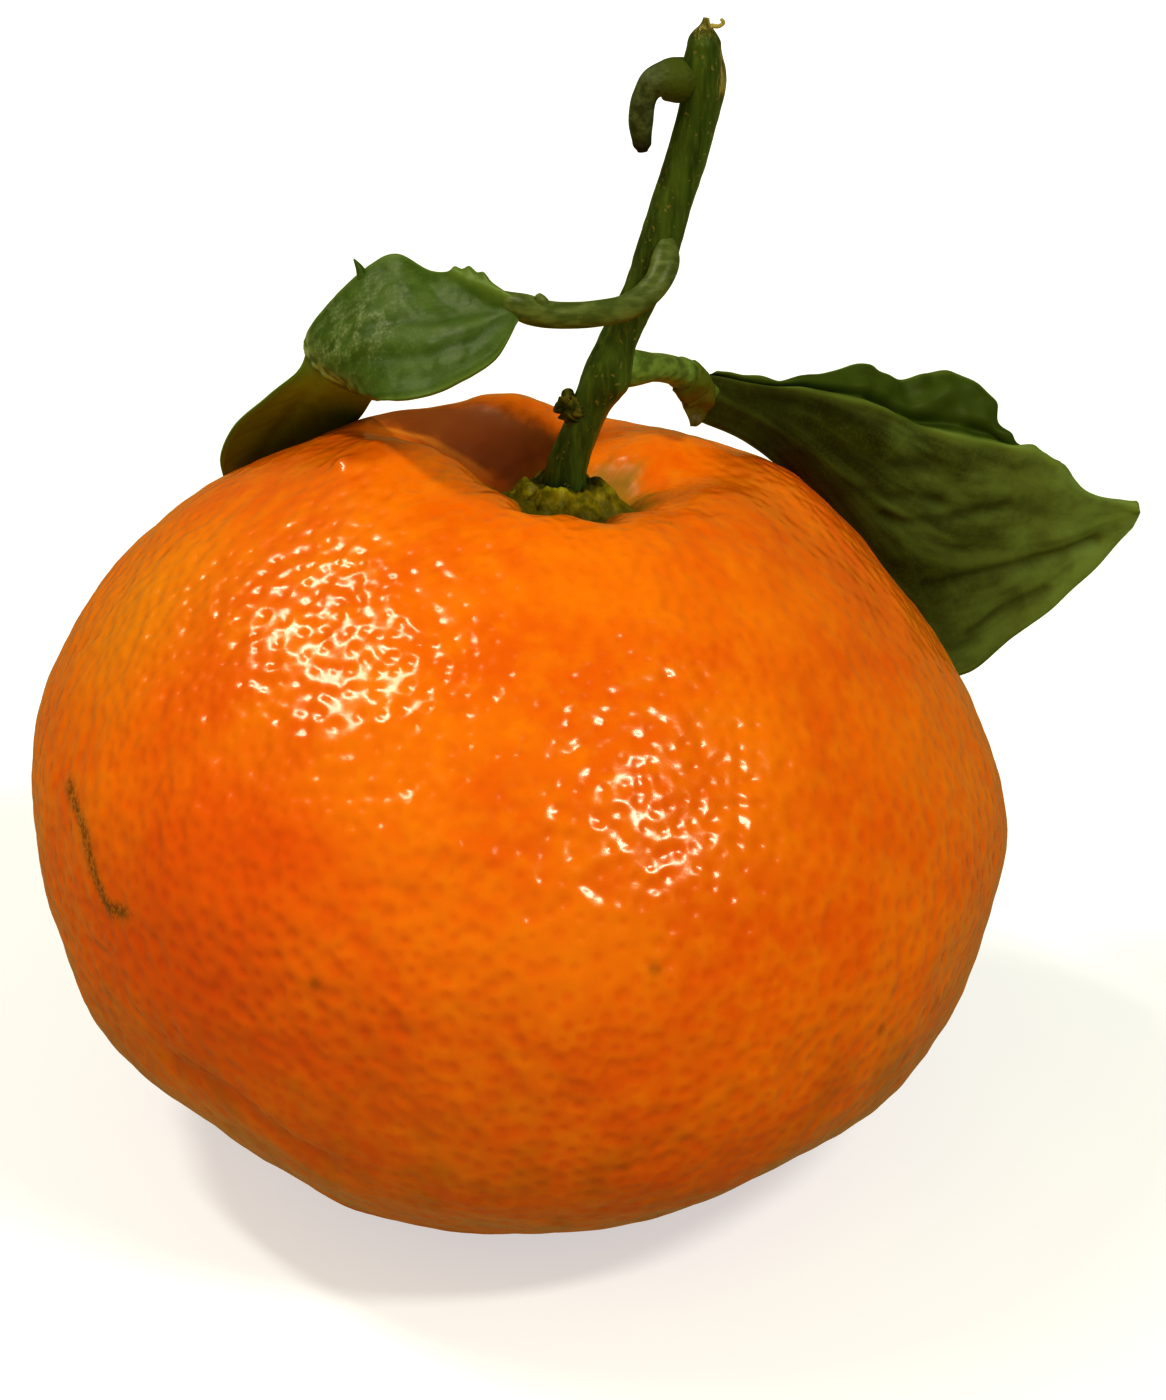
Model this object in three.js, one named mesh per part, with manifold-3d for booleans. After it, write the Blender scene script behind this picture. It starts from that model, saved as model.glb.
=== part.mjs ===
// A mandarin as picked: the fruit rests on its base and carries its calyx, a torn twig and two leaves.
// Millimetres, +Z up. The origin is the middle of the flat spot under the fruit, and -Y is its front.

import * as THREE from 'three';
import { mergeVertices } from 'three/addons/utils/BufferGeometryUtils.js';
import Module from 'manifold-3d';

const wasm = await Module();
wasm.setup();

// ---------------------------------------------------------------- driving dimensions

const FRUIT = {
  radius: 33.5,            // at the equator
  crownRise: 26.8,         // from the equator up to the crown, before the stem cavity sinks it
  baseDrop: 24.9,          // from the equator down to the lowest point of the round body
  crownPower: 1.69,        // 2 is an ellipse: less gives sloping shoulders
  basePower: 2.46,         // more than 2 gives a full base
  equatorTilt: 7.7,        // degrees: the -X side is fuller above, the +X side below
  tiltHeight: 14,          // the tilt grows from nothing at the base to its full angle at this height
  crownLean: 0.136,        // millimetres that the axis leans towards +X for each one up
  flatRadius: 9,           // the small flat spot it rests on
  cavityDepth: 6.0,
  cavityWidth: 6.6,
  threeLobes: 0.027,       // share of the radius
  threeLobesTurn: 38,      // degrees
};

// Furrows run out from the stem cavity between the swollen segments. Azimuths are in degrees from +X,
// and a furrow is at its deepest from FURROW_FULL out to FURROW_FADES of its reach.
const FURROW_START = 0.5;
const FURROW_FULL = 3.5;
const FURROW_FADES = 0.45;
const FURROW_FLARE = 0.6;  // share of its width that a furrow has where it starts
const FURROWS = [
  { azimuth: 148, depth: 3.7, width: 3.5, reach: 18 },
  { azimuth: 246, depth: 1.0, width: 1.2, reach: 8.5 },
  { azimuth: 292, depth: 0.9, width: 1.1, reach: 8 },
  { azimuth: 24, depth: 1.0, width: 2.4, reach: 16 },
  { azimuth: 80, depth: 1.6, width: 2.6, reach: 17 },
  { azimuth: 203, depth: 0.6, width: 1.5, reach: 9 },
  { azimuth: 336, depth: 0.6, width: 1.4, reach: 9 },
];

// Swells and hollows of the body: where it grew freely and where it hung against its neighbours.
// azimuth is in degrees from +X and height in degrees above the equator.
const SWELLS = [
  { azimuth: 118, height: 66, spread: 9, rise: 1.0 },
  { azimuth: 176, height: 64, spread: 9, rise: 0.9 },
  { azimuth: 33, height: 49, spread: 11, rise: 0.8 },
  { azimuth: 136, height: 55, spread: 9, rise: 0.3 },
  { azimuth: 165, height: 27, spread: 14, rise: 0.5 },
  { azimuth: 0, height: 4, spread: 12, rise: 0.4 },
  { azimuth: 205, height: -27, spread: 10, rise: 0.5 },
  { azimuth: 212, height: -46, spread: 13, rise: -1.2 },
  { azimuth: 233, height: -35, spread: 11, rise: -0.5 },
  { azimuth: 316, height: -31, spread: 11, rise: -0.7 },
  { azimuth: 328, height: -50, spread: 14, rise: -0.8 },
  { azimuth: 70, height: 5, spread: 18, rise: -0.5 },
];

const CALYX = {
  radius: 4.9,
  lobes: 5,
  lobeDepth: 0.34,         // share of the radius that is cut away between two lobes
  thickness: 0.8,
  edgeThickness: 0.32,
  plump: 0.5,              // how far each lobe swells, and where along it and over what share
  plumpAt: 0.74,
  plumpSpread: 0.18,
  seatRadius: 2.15,        // the level seat that the twig stands on
  seatRise: 0.3,
  lift: 0.42,              // clear of the rind below it
};

const TWIG = {
  radius: 1.48,
  footRadius: 1.75,
  footLength: 0.14,        // share of the twig over which it flares
  path: [[6.15, 0, 0], [6.18, 0, 48.2], [6.5, 0, 49.4], [7.2, 0, 51.3], [8.4, 0.1, 54.6], [9.9, 0.2, 58.2],
    [11.3, 0.4, 61.2], [12.3, 0.6, 64.2], [13.1, 0.8, 67.0], [14.0, 1.0, 69.9], [14.85, 1.2, 72.6],
    [15.4, 1.3, 74.9], [15.6, 1.3, 77.0], [15.2, 1.2, 78.9]],
  knuckles: [{ at: 0.5, rise: 0.28, spread: 0.045 }, { at: 0.23, rise: 0.22, spread: 0.04 },
    { at: 0.86, rise: 0.2, spread: 0.04 }],
  ribs: { count: 3, height: 0.05, twist: 4 },
  tornFrom: 0.9,           // share of the twig above which it is torn to a point
  tornTip: 0.1,            // share of the radius left at the very tip
  bud: { at: [6.6, -0.4, 53.2], radius: 0.85 },
  stubRadius: 0.9,         // the stub of a torn side shoot, hooked over and down
  stubPath: [[14.6, 1.0, 74.3], [13.2, 0.9, 75.0], [12.0, 0.8, 74.7], [11.1, 0.7, 73.4], [10.85, 0.6, 71.9],
    [11.3, 0.6, 70.1]],
};

const LEAF_THICKNESS = 0.6;
const CLEARANCE = 0.3;     // between a piece and the neighbour it grows from
const ROOT_FLARE = { share: 0.25, length: 0.3 };   // a petiole is thicker where it leaves the twig
const ARTICULATION = { at: 0.8, spread: 0.16 };    // the swollen joint where a petiole meets its blade

// Each leaf is a petiole and a blade. A station runs across the blade from its front margin to its back
// margin, and the stations follow each other from the petiole to the tip.
const LEFT_LEAF = {
  petioleRadius: 0.85,
  articulation: 0.25,
  petiole: [[13.2, -2.15, 64.0], [12.6, -3.3, 62.8], [11.2, -3.8, 61.6], [9.0, -4.0, 60.9], [6.8, -4.1, 60.7],
    [4.8, -4.1, 60.8], [2.2, -3.9, 61.1]],
  // Front margin, midrib, back margin. After the fifth station the blade is bent sharply down and back.
  stations: [
    [[3.2, -4.4, 60.5], [3.1, -4.2, 61.2], [2.9, -3.4, 61.6]],
    [[1.6, -6, 58.4], [0.7, -3.2, 60.5], [0, 0.5, 61.9]],
    [[-1.1, -6.5, 56.7], [-2.2, -2.2, 59.8], [-2.6, 2.5, 61.3]],
    [[-3.7, -6, 55.6], [-4.8, -1.2, 59], [-5.1, 4, 61.9]],
    [[-5.6, -4.5, 55], [-7.6, 0, 57.4], [-8.4, 4.5, 59.5]],
    [[-6.3, -3, 54.3], [-9.3, 1, 55.4], [-10.9, 4.5, 56.4]],
    [[-6.7, 0.5, 52.4], [-9.6, 3.4, 53.1], [-11.2, 6.2, 53.6]],
    [[-8.7, 8.1, 49.2], [-11.7, 9.3, 49], [-14.2, 10.5, 49.5]],
    [[-11.3, 13.7, 46.3], [-13.9, 14.2, 45.2], [-17, 14.5, 45.6]],
    [[-14.1, 19, 41.9], [-16.2, 17.8, 41.6], [-18.1, 16.5, 42.6]],
    [[-16.5, 20.8, 38.4], [-17.3, 20.5, 38.2], [-18, 19.5, 39.1]],
  ],
};

const RIGHT_LEAF = {
  petioleRadius: 1.1,
  articulation: 0.5,
  petiole: [[10.8, 1.25, 55.3], [11.6, 2.4, 54.7], [12.6, 4.2, 53.6], [13.8, 6.2, 52.4], [15.0, 8.2, 51.2],
    [16.8, 9.6, 49.9]],
  // Front margin, midrib, crest of the edge that is rolled back, back margin.
  stations: [
    [[15.1, 8, 48.7], [15.5, 8.2, 50.3], [15.9, 9, 51.6], [16.2, 9.5, 51.7]],
    [[18.4, 11, 46.9], [18.7, 11, 48.5], [19.2, 12, 49.7], [20, 13.5, 49.5]],
    [[22.1, 18.8, 39.6], [22.4, 15.5, 44.3], [22.9, 16, 47.9], [23.4, 18, 48.2]],
    [[27.1, 24.4, 28.4], [27.5, 19, 38.1], [27.3, 19, 45.7], [27, 21.5, 47.6]],
    [[31.8, 25, 21.6], [31.9, 22, 33.4], [31.1, 21.5, 43], [29.7, 23.5, 45.7]],
    [[35.6, 26.5, 21.5], [35.4, 24, 31.9], [34.4, 23, 41.5], [33.4, 25.5, 45.7]],
    [[39.1, 27, 24.3], [38.6, 25, 31.8], [37.2, 24, 40.6], [36.8, 26, 43.3]],
    [[40.4, 27.1, 25.3], [39.8, 25.5, 32.1], [38.7, 24.4, 40.1], [37.6, 26.8, 40.2]],
    [[42.3, 27.2, 26.8], [41.7, 26, 32.3], [40.9, 25, 39.1], [39.8, 27.5, 37.9]],
    [[45.1, 27.5, 29.7], [44.5, 26.8, 33], [43.8, 26, 36.1], [43.3, 28, 34.7]],
    [[47.4, 27.8, 32.7], [47.9, 27.6, 34], [47.6, 27.5, 34.4], [47.3, 28, 34]],
  ],
};

// ---------------------------------------------------------------- small helpers

const radians = THREE.MathUtils.degToRad;
const smooth = THREE.MathUtils.smoothstep;
const bell = (distance, width) => Math.exp(-((distance / width) ** 2));
const through = (vectors) => new THREE.CatmullRomCurve3(vectors, false, 'centripetal');
const curve = (points) => through(points.map((p) => new THREE.Vector3(...p)));

function toSolid(geometry) {
  const bare = geometry.clone();
  bare.deleteAttribute('normal');
  bare.deleteAttribute('uv');
  const merged = mergeVertices(bare, 1e-4);
  return new wasm.Manifold(new wasm.Mesh({
    numProp: 3,
    vertProperties: Float32Array.from(merged.attributes.position.array),
    triVerts: Uint32Array.from(merged.index.array),
  }));
}

function toGeometry(solid) {
  const mesh = solid.getMesh();
  const geometry = new THREE.BufferGeometry();
  geometry.setAttribute('position', new THREE.BufferAttribute(Float32Array.from(mesh.vertProperties), 3));
  geometry.setIndex(Array.from(mesh.triVerts));
  geometry.computeVertexNormals();
  return geometry;
}

const join = (...geometries) => toGeometry(geometries.map(toSolid).reduce((all, next) => all.add(next)));

function moveVertices(geometry, place) {
  const position = geometry.attributes.position;
  const point = new THREE.Vector3();
  for (let i = 0; i < position.count; i += 1) {
    point.fromBufferAttribute(position, i);
    place(point);
    position.setXYZ(i, point.x, point.y, point.z);
  }
  geometry.computeVertexNormals();
  return geometry;
}

// A closed round limb along a curve. radiusAt(s, angle) gives its radius.
function limb(path, radiusAt, sides, steps) {
  const frames = path.computeFrenetFrames(steps, false);
  const points = path.getSpacedPoints(steps);
  const geometry = new THREE.CylinderGeometry(1, 1, 1, sides, steps);
  return moveVertices(geometry, (p) => {
    const s = p.y + 0.5;
    const i = Math.round(s * steps);
    const reach = Math.hypot(p.x, p.z);
    const angle = Math.atan2(p.z, p.x);
    const radius = reach * radiusAt(s, angle);
    p.copy(points[i])
      .addScaledVector(frames.normals[i], radius * Math.cos(angle))
      .addScaledVector(frames.binormals[i], -radius * Math.sin(angle));
  });
}

// ---------------------------------------------------------------- fruit

// How far the flat spot lies above the lowest point that a fully round base would have.
const flatShare = (FRUIT.flatRadius / FRUIT.radius) ** FRUIT.basePower;
const FLAT_RISE = FRUIT.baseDrop * (1 - (1 - flatShare) ** (1 / FRUIT.basePower));

// How far the fruit's own upright axis has leaned towards +X at a height.
const lean = (z) => FRUIT.crownLean * z;

// The rind at a polar angle from the base (0) to the crown (PI) and an azimuth, both in radians.
function rindPoint(polar, azimuth, target = new THREE.Vector3()) {
  const out = Math.sin(polar);
  const up = -Math.cos(polar);
  const rise = up > 0 ? FRUIT.crownRise : FRUIT.baseDrop;
  const power = up > 0 ? FRUIT.crownPower : FRUIT.basePower;
  let reach = ((out / FRUIT.radius) ** power + (Math.abs(up) / rise) ** power) ** (-1 / power);
  reach *= 1 + FRUIT.threeLobes * out * out * Math.cos(3 * (azimuth - radians(FRUIT.threeLobesTurn)));
  const here = new THREE.Vector3().setFromSphericalCoords(1, polar, azimuth);
  const there = new THREE.Vector3();
  for (const swell of SWELLS) {
    there.setFromSphericalCoords(1, radians(90 + swell.height), radians(swell.azimuth));
    reach += swell.rise * bell(here.angleTo(there), radians(swell.spread));
  }
  const r = reach * out;
  let z = FRUIT.baseDrop + reach * up;
  if (up > 0) {
    z -= FRUIT.cavityDepth * bell(r, FRUIT.cavityWidth);
    for (const furrow of FURROWS) {
      const turn = azimuth - radians(furrow.azimuth);
      const forward = r * Math.cos(turn);
      const fade = smooth(forward, FURROW_START, FURROW_FULL)
        * (1 - smooth(forward, furrow.reach * FURROW_FADES, furrow.reach));
      const width = furrow.width * (FURROW_FLARE + forward / furrow.reach);
      z -= furrow.depth * fade * bell(r * Math.sin(turn), width);
    }
  }
  const x = r * Math.cos(azimuth);
  z -= Math.tan(radians(FRUIT.equatorTilt)) * x * smooth(z, 0, FRUIT.tiltHeight);
  z = Math.max(z - FLAT_RISE, 0);
  return target.set(x + lean(z), r * Math.sin(azimuth), z);
}

function fruit(segments = 64, rings = 40) {
  const flatAngle = Math.atan2(FRUIT.flatRadius, FRUIT.baseDrop - FLAT_RISE);
  const profile = [new THREE.Vector2(0, -1)];
  for (let i = 0; i < rings; i += 1) {
    const polar = THREE.MathUtils.lerp(flatAngle, Math.PI, 1 - (1 - i / rings) ** 1.25);
    profile.push(new THREE.Vector2(Math.sin(polar), -Math.cos(polar)));
  }
  profile.push(new THREE.Vector2(0, 1));
  const geometry = new THREE.LatheGeometry(profile, segments).rotateX(Math.PI / 2);
  return moveVertices(geometry, (p) => {
    rindPoint(Math.atan2(Math.hypot(p.x, p.y), -p.z), Math.atan2(p.y, p.x), p);
  });
}

// ---------------------------------------------------------------- calyx

const cavityFloor = rindPoint(Math.PI, 0);

// Height of the rind straight above or below a place near the stem cavity.
function rindHeight(x, y) {
  let z = cavityFloor.z;
  for (let round = 0; round < 5; round += 1) {
    const azimuth = Math.atan2(y, x - lean(z));
    const out = Math.hypot(x - lean(z), y);
    let near = Math.PI / 2;
    let far = Math.PI;
    for (let i = 0; i < 24; i += 1) {
      const middle = (near + far) / 2;
      const p = rindPoint(middle, azimuth);
      if (Math.hypot(p.x - lean(p.z), p.y) > out) near = middle;
      else far = middle;
    }
    z = rindPoint(near, azimuth).z;
  }
  return z;
}

// The same height, raised until the shortest way down to the rind is CALYX.lift.
function aboveRind(x, y) {
  const step = 0.25;
  const slopeX = (rindHeight(x + step, y) - rindHeight(x - step, y)) / (2 * step);
  const slopeY = (rindHeight(x, y + step) - rindHeight(x, y - step)) / (2 * step);
  return rindHeight(x, y) + CALYX.lift * Math.hypot(1, slopeX, slopeY);
}

// The calyx lies in the cavity: five plump lobes round a level seat for the twig.
const calyxSeat = cavityFloor.z + CALYX.lift + CALYX.thickness + CALYX.seatRise;

function calyx(segments = 40) {
  const rings = [0, 0.22, 0.44, 0.58, 0.72, 0.86, 1];
  const profile = [
    ...rings.map((share) => new THREE.Vector2(share, 0)),
    ...rings.map((share) => new THREE.Vector2(share, 1)).reverse(),
  ];
  const geometry = new THREE.LatheGeometry(profile, segments).rotateX(Math.PI / 2);
  return moveVertices(geometry, (p) => {
    const share = Math.hypot(p.x, p.y);
    const azimuth = Math.atan2(p.y, p.x);
    const lobe = 0.5 - 0.5 * Math.cos(CALYX.lobes * azimuth);
    const r = share * CALYX.radius * (1 - CALYX.lobeDepth * (1 - lobe) * smooth(share, rings[2], 1));
    const x = cavityFloor.x + r * Math.cos(azimuth);
    const y = r * Math.sin(azimuth);
    const under = aboveRind(x, y);
    const swell = CALYX.plump * lobe * bell(share - CALYX.plumpAt, CALYX.plumpSpread);
    const thick = THREE.MathUtils.lerp(CALYX.thickness, CALYX.edgeThickness, smooth(share, rings[4], 1));
    const seat = 1 - smooth(r, CALYX.seatRadius, CALYX.radius * rings[3]);
    const top = THREE.MathUtils.lerp(under + thick + swell, calyxSeat, seat);
    p.set(x, y, p.z > 0.5 ? top : under);
  });
}

// ---------------------------------------------------------------- twig

function twig() {
  const [foot, ...rest] = TWIG.path;
  const path = curve([[foot[0], foot[1], calyxSeat + CLEARANCE], ...rest]);
  const stem = limb(path, (s, angle) => {
    let radius = THREE.MathUtils.lerp(TWIG.footRadius, TWIG.radius, smooth(s, 0, TWIG.footLength));
    for (const knuckle of TWIG.knuckles) radius += knuckle.rise * bell(s - knuckle.at, knuckle.spread);
    radius += TWIG.ribs.height * Math.cos(TWIG.ribs.count * angle + TWIG.ribs.twist * s);
    return radius * THREE.MathUtils.lerp(1, TWIG.tornTip, smooth(s, TWIG.tornFrom, 1));
  }, 14, 44);
  const stub = limb(curve(TWIG.stubPath), (s) => TWIG.stubRadius * (1.15 - 0.75 * s * s), 10, 18);
  const bud = new THREE.SphereGeometry(TWIG.bud.radius, 12, 8).translate(...TWIG.bud.at);
  return join(stem, stub, bud);
}

// ---------------------------------------------------------------- leaves

// The middle of a blade at a share of its length (0 petiole, 1 tip) and of its width (0 front, 1 back).
function bladeSurface(stations) {
  const lines = stations[0].map((_, column) => curve(stations.map((station) => station[column])));
  return (share, across) => through(lines.map((line) => line.getPoint(share))).getPoint(across);
}

// A closed blade: the sheet's two skins have the same triangles, and a rim joins them.
function blade(stations, rows, columns) {
  const middle = bladeSurface(stations);
  const sheet = new THREE.PlaneGeometry(1, 1, columns, rows);
  const place = sheet.attributes.position;
  for (let i = 0; i < place.count; i += 1) {
    const column = i % (columns + 1);
    const row = (i - column) / (columns + 1);
    place.setXYZ(i, ...middle(row / rows, column / columns).toArray());
  }
  sheet.computeVertexNormals();
  const count = place.count;
  const positions = new Float32Array(count * 6);
  const point = new THREE.Vector3();
  const normal = new THREE.Vector3();
  for (let i = 0; i < count; i += 1) {
    for (const [start, side] of [[3 * i, 1], [3 * (i + count), -1]]) {
      normal.fromBufferAttribute(sheet.attributes.normal, i);
      point.fromBufferAttribute(place, i).addScaledVector(normal, side * LEAF_THICKNESS / 2);
      point.toArray(positions, start);
    }
  }
  const triangles = [];
  const face = sheet.index.array;
  for (let k = 0; k < face.length; k += 3) {
    triangles.push(face[k], face[k + 1], face[k + 2]);
    triangles.push(face[k] + count, face[k + 2] + count, face[k + 1] + count);
  }
  const border = [];
  for (let j = 0; j < columns; j += 1) border.push(j);
  for (let i = 0; i < rows; i += 1) border.push(i * (columns + 1) + columns);
  for (let j = columns; j > 0; j -= 1) border.push(rows * (columns + 1) + j);
  for (let i = rows; i > 0; i -= 1) border.push(i * (columns + 1));
  border.forEach((a, k) => {
    const b = border[(k + 1) % border.length];
    triangles.push(a, b, b + count, a, b + count, a + count);
  });
  const geometry = new THREE.BufferGeometry();
  geometry.setAttribute('position', new THREE.BufferAttribute(positions, 3));
  geometry.setIndex(triangles);
  return geometry;
}

function leaf({ petiole, petioleRadius, articulation, stations }) {
  const stalk = limb(curve(petiole), (s) => (
    petioleRadius * (1 + ROOT_FLARE.share * (1 - smooth(s, 0, ROOT_FLARE.length)))
    + articulation * bell(s - ARTICULATION.at, ARTICULATION.spread)
  ), 10, 18);
  return join(stalk, blade(stations, 36, 12));
}

const group = new THREE.Group();
function add(name, geometry, color, roughness) {
  const mesh = new THREE.Mesh(geometry, new THREE.MeshStandardMaterial({ color, roughness, metalness: 0 }));
  mesh.name = name;
  group.add(mesh);
}
add('fruit', fruit(), 0xf07a12, 0.35);
add('calyx', calyx(), 0x6f7a1e, 0.6);
add('twig', twig(), 0x3c5a1c, 0.55);
add('leaf_left', leaf(LEFT_LEAF), 0x3f6b2c, 0.4);
add('leaf_right', leaf(RIGHT_LEAF), 0x4a5a1c, 0.5);
export default group;
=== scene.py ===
import functools
import math

import bpy
import numpy as np
from mathutils import Matrix, Vector, kdtree


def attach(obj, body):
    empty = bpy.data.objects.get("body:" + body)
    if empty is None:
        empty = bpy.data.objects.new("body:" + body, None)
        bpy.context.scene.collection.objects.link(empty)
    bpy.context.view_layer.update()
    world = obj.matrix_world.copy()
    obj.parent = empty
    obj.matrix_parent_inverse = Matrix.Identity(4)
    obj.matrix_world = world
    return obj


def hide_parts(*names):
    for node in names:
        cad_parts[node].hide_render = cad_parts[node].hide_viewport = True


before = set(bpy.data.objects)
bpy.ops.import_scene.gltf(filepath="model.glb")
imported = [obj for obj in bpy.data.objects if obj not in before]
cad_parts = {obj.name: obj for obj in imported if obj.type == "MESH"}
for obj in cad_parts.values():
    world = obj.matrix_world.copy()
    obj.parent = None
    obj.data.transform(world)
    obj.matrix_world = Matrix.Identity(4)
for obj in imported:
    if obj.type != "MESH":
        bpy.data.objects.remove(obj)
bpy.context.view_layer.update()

# ---- sizes, in millimetres
# The same fruit, calyx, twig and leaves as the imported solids, given again so that the finer pieces
# follow them. +Z is up and -Y is the front. A ripple is its height, its wavelength and its seed.

MM = 0.001

RADIUS = 33.5
CROWN_RISE = 26.8  # from the widest place up to the crown
BASE_DROP = 24.9  # and down to the base, before its flat spot
CROWN_POWER = 1.69  # roundness of the crown, 2 being a half ellipse
BASE_POWER = 2.46
EQUATOR_TILT = math.radians(7.7)
TILT_HEIGHT = 14  # height at which the tilt has come in fully
CROWN_LEAN = 0.136  # how far the crown leans to +X for each millimetre of height
FLAT_RADIUS = 9
CAVITY_DEPTH = 6
CAVITY_WIDTH = 6.6
THREE_LOBES = 0.027  # share by which the body has three blunt sides
THREE_LOBES_TURN = math.radians(38)

FURROWS = [  # azimuth in degrees, depth, width, reach
    (148, 3.7, 3.5, 18), (250, 1.5, 1.15, 10.5), (285, 1.5, 1.1, 10.5), (24, 1, 2.4, 16),
    (80, 1.6, 2.6, 17), (203, 0.6, 1.5, 9), (336, 0.6, 1.4, 9),
]
FURROW_START = 0.5  # distance from the stem at which they begin
FURROW_FULL = 3.5  # and at which they are at their deepest
FURROW_FADES = 0.45  # share of the reach after which they fade
FURROW_FLARE = 0.6  # share of the width that they begin with

SWELLS = [  # azimuth, height and spread in degrees, rise
    (118, 66, 9, 1), (176, 64, 9, 0.9), (33, 49, 11, 0.8), (136, 55, 9, 0.3),
    (165, 27, 14, 0.5), (0, 4, 12, 0.4), (205, -27, 10, 0.5), (212, -46, 13, -1.2),
    (233, -35, 11, -0.5), (316, -31, 11, -0.7), (328, -50, 14, -0.8), (70, 5, 18, -0.5),
]

RIND_STEPS = 98  # which gives the rind 20 * 98 ** 2 triangles
UNEVENNESS = [(0.06, 8, 3), (0.025, 2.6, 4)]
GLAND_GAP = 1  # least distance between the middles of two oil glands
GLAND_GAP_CHANGE = [(0.13, 11, 5)]
GLAND_PLACE_SEED = 6
GLAND_SIZE_SEED = 7
GLAND_SIZES = (0.62, 1.25)  # least and greatest, as shares of the width and depth
GLAND_DEPTH = 0.13
GLAND_WIDTH = 0.45
GLAND_SHARE = 0.5  # share of the depth that is in the mesh, the rest being in the finish
GLANDS_DEEPEN = (6, 28)  # heights between which they come to their full depth
LOW_GLAND_SHARE = 0.4  # share of it that they have below
PEBBLE_HEIGHT = 0.145

# One crease and the single bumps of the rind, and the scar of the blossom under it
CREASE = [(-19.5, -21.3, 15.8), (-15.3, -25.6, 15.6), (-11.4, -27.2, 13.3), (-8.8, -28.4, 12.5)]
CREASE_DEPTH = 0.32
CREASE_WIDTH = 0.9
PIMPLES = [  # middle, rise, width
    ((-8.35, -1.43, 49.3), 0.5, 0.85), ((14.9, -6, 47.3), 0.25, 1.1), ((11.4, 0.3, 46.1), 0.2, 1),
    ((9, -4, 47), 0.18, 0.9),
]
BLOSSOM_SCAR_DEPTH = 0.35
BLOSSOM_SCAR_WIDTH = 1.1

# Lines of places on the rind: the furrow's back wall, given painted shade; the lip, given a painted
# highlight; a scratch; and the crease, darker in the finish
SHADED_FURROW_WALL = [
    (-8, 12, 47.5), (-6.4, 10.9, 48.1), (-4.5, 10, 48.6), (-2.4, 8.8, 48.5), (-0.4, 7.7, 48.1),
    (1.7, 6.6, 47.6), (3.6, 5.8, 47.1),
]
HIGHLIT_LIP = [(-6.45, 7.64, 48.3), (-3.4, 7.3, 47.8), (-0.6, 5.7, 46.7), (1, 4.6, 45.9)]
SCRATCH = [
    (-26.3, -11.5, 30.8), (-25, -15, 29.3), (-24.3, -16.7, 27.2), (-23.3, -18.5, 25.4), (-22.1, -20, 25.9),
]
RIND_MARKS = {  # each with its line and its width in the finish
    "furrow_wall_shade": (SHADED_FURROW_WALL, 3.1),
    "lip_highlight": (HIGHLIT_LIP, 0.28),
    "scratch": (SCRATCH, 0.55),
    "crease": (CREASE, CREASE_WIDTH * 0.8),
}
SCARS = [
    (28.4, -18.5, 14.6), (26.4, -22.9, 18.9), (30.4, -16.6, 17.6), (9.9, -32.1, 14.4), (-9.3, -30.8, 26.6),
    (11.7, -32.2, 28.4),
]
SCAR_SIZE = 0.42
CALM_BY_WALL = 4.5  # width along the shaded furrow wall where the glands are shallow
CALM_BY_LIP = 3  # and along the highlit lip
SMOOTH_SPOTS = [  # more such places: middle, width, share taken off
    ((25, -2, 41), 19, 0.6),
    ((-9, 2, 48), 10, 0.6),
    ((-13.5, 3, 47), 8, 0.75),
]
CALMING = 0.8  # how far a wholly calm place takes the relief off

LEAF_THICKNESS = 0.38
LEAF_EDGE = 0.2  # thickness at the margin
THIN_MARGIN = 0.06  # share of the blade's width over which it thins out
BLADE_ROWS = 230
BLADE_COLUMNS = 96

LEFT_PETIOLE = [
    (12.3, 0.5, 65.5), (12.5, 0.1, 64.8), (12.65, -0.6, 64.2), (12.6, -1.4, 63.6), (12.4, -2.2, 63),
    (11.9, -2.9, 62.3), (11, -3.5, 61.6), (9.9, -3.9, 61.1), (8.4, -4.1, 60.85), (6.8, -4.1, 60.7),
    (4.8, -4.1, 60.8), (3, -3.4, 61.15), (1.6, -1.6, 61.35), (0.2, 0.1, 61.4),
]
# Rows of points across each blade, from the petiole to the tip.
LEFT_STATIONS = [
    [(3.2, -4.4, 60.5), (3.1, -4.2, 61.2), (2.9, -3.4, 61.6)],
    [(1.6, -6, 58.4), (0.7, -3.2, 60.5), (0, 0.5, 61.9)],
    [(-1.1, -6.5, 56.7), (-2.2, -2.2, 59.8), (-2.6, 2.5, 61.3)],
    [(-3.7, -6, 55.6), (-4.8, -1.2, 59), (-5.1, 4, 61.9)],
    [(-5.6, -4.5, 55), (-7.6, 0, 57.4), (-8.4, 4.5, 59.5)],
    [(-6.3, -2, 54.1), (-9.3, 1, 55.4), (-10.9, 4.5, 56.4)],
    [(-6.8, 5.5, 51.3), (-9.8, 4.6, 52.9), (-11.4, 6.2, 53.6)],
    [(-8.9, 14.2, 45.9), (-12, 10.8, 48.8), (-14.2, 10.5, 49.5)],
    [(-11.3, 16.6, 43.9), (-14.1, 15.1, 45.1), (-17, 14.5, 45.6)],
    [(-14.1, 19.3, 41.4), (-16.2, 17.9, 41.6), (-18.1, 16.5, 42.6)],
    [(-16.5, 20.8, 38.4), (-17.3, 20.5, 38.2), (-18, 19.5, 39.1)],
]
RIGHT_PETIOLE = [
    (9.2, 0.4, 55.3), (11.3, 2, 54.8), (12.5, 4, 54), (13.5, 5.8, 53.1), (14.3, 7.1, 52.3),
    (14.9, 8, 51.6),
]
RIGHT_NECK = [
    (14.4, 7.3, 51.8), (15.1, 8.2, 51), (16, 9.2, 50.2), (17.1, 10.3, 49.4), (18.5, 11.4, 48.3),
]
RIGHT_JOINT = [
    (14.2, 6.9, 52.3), (14.7, 7.1, 51.7), (14.95, 7.2, 51), (14.95, 6.8, 50.1), (14.8, 6.3, 49.1),
]
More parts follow.
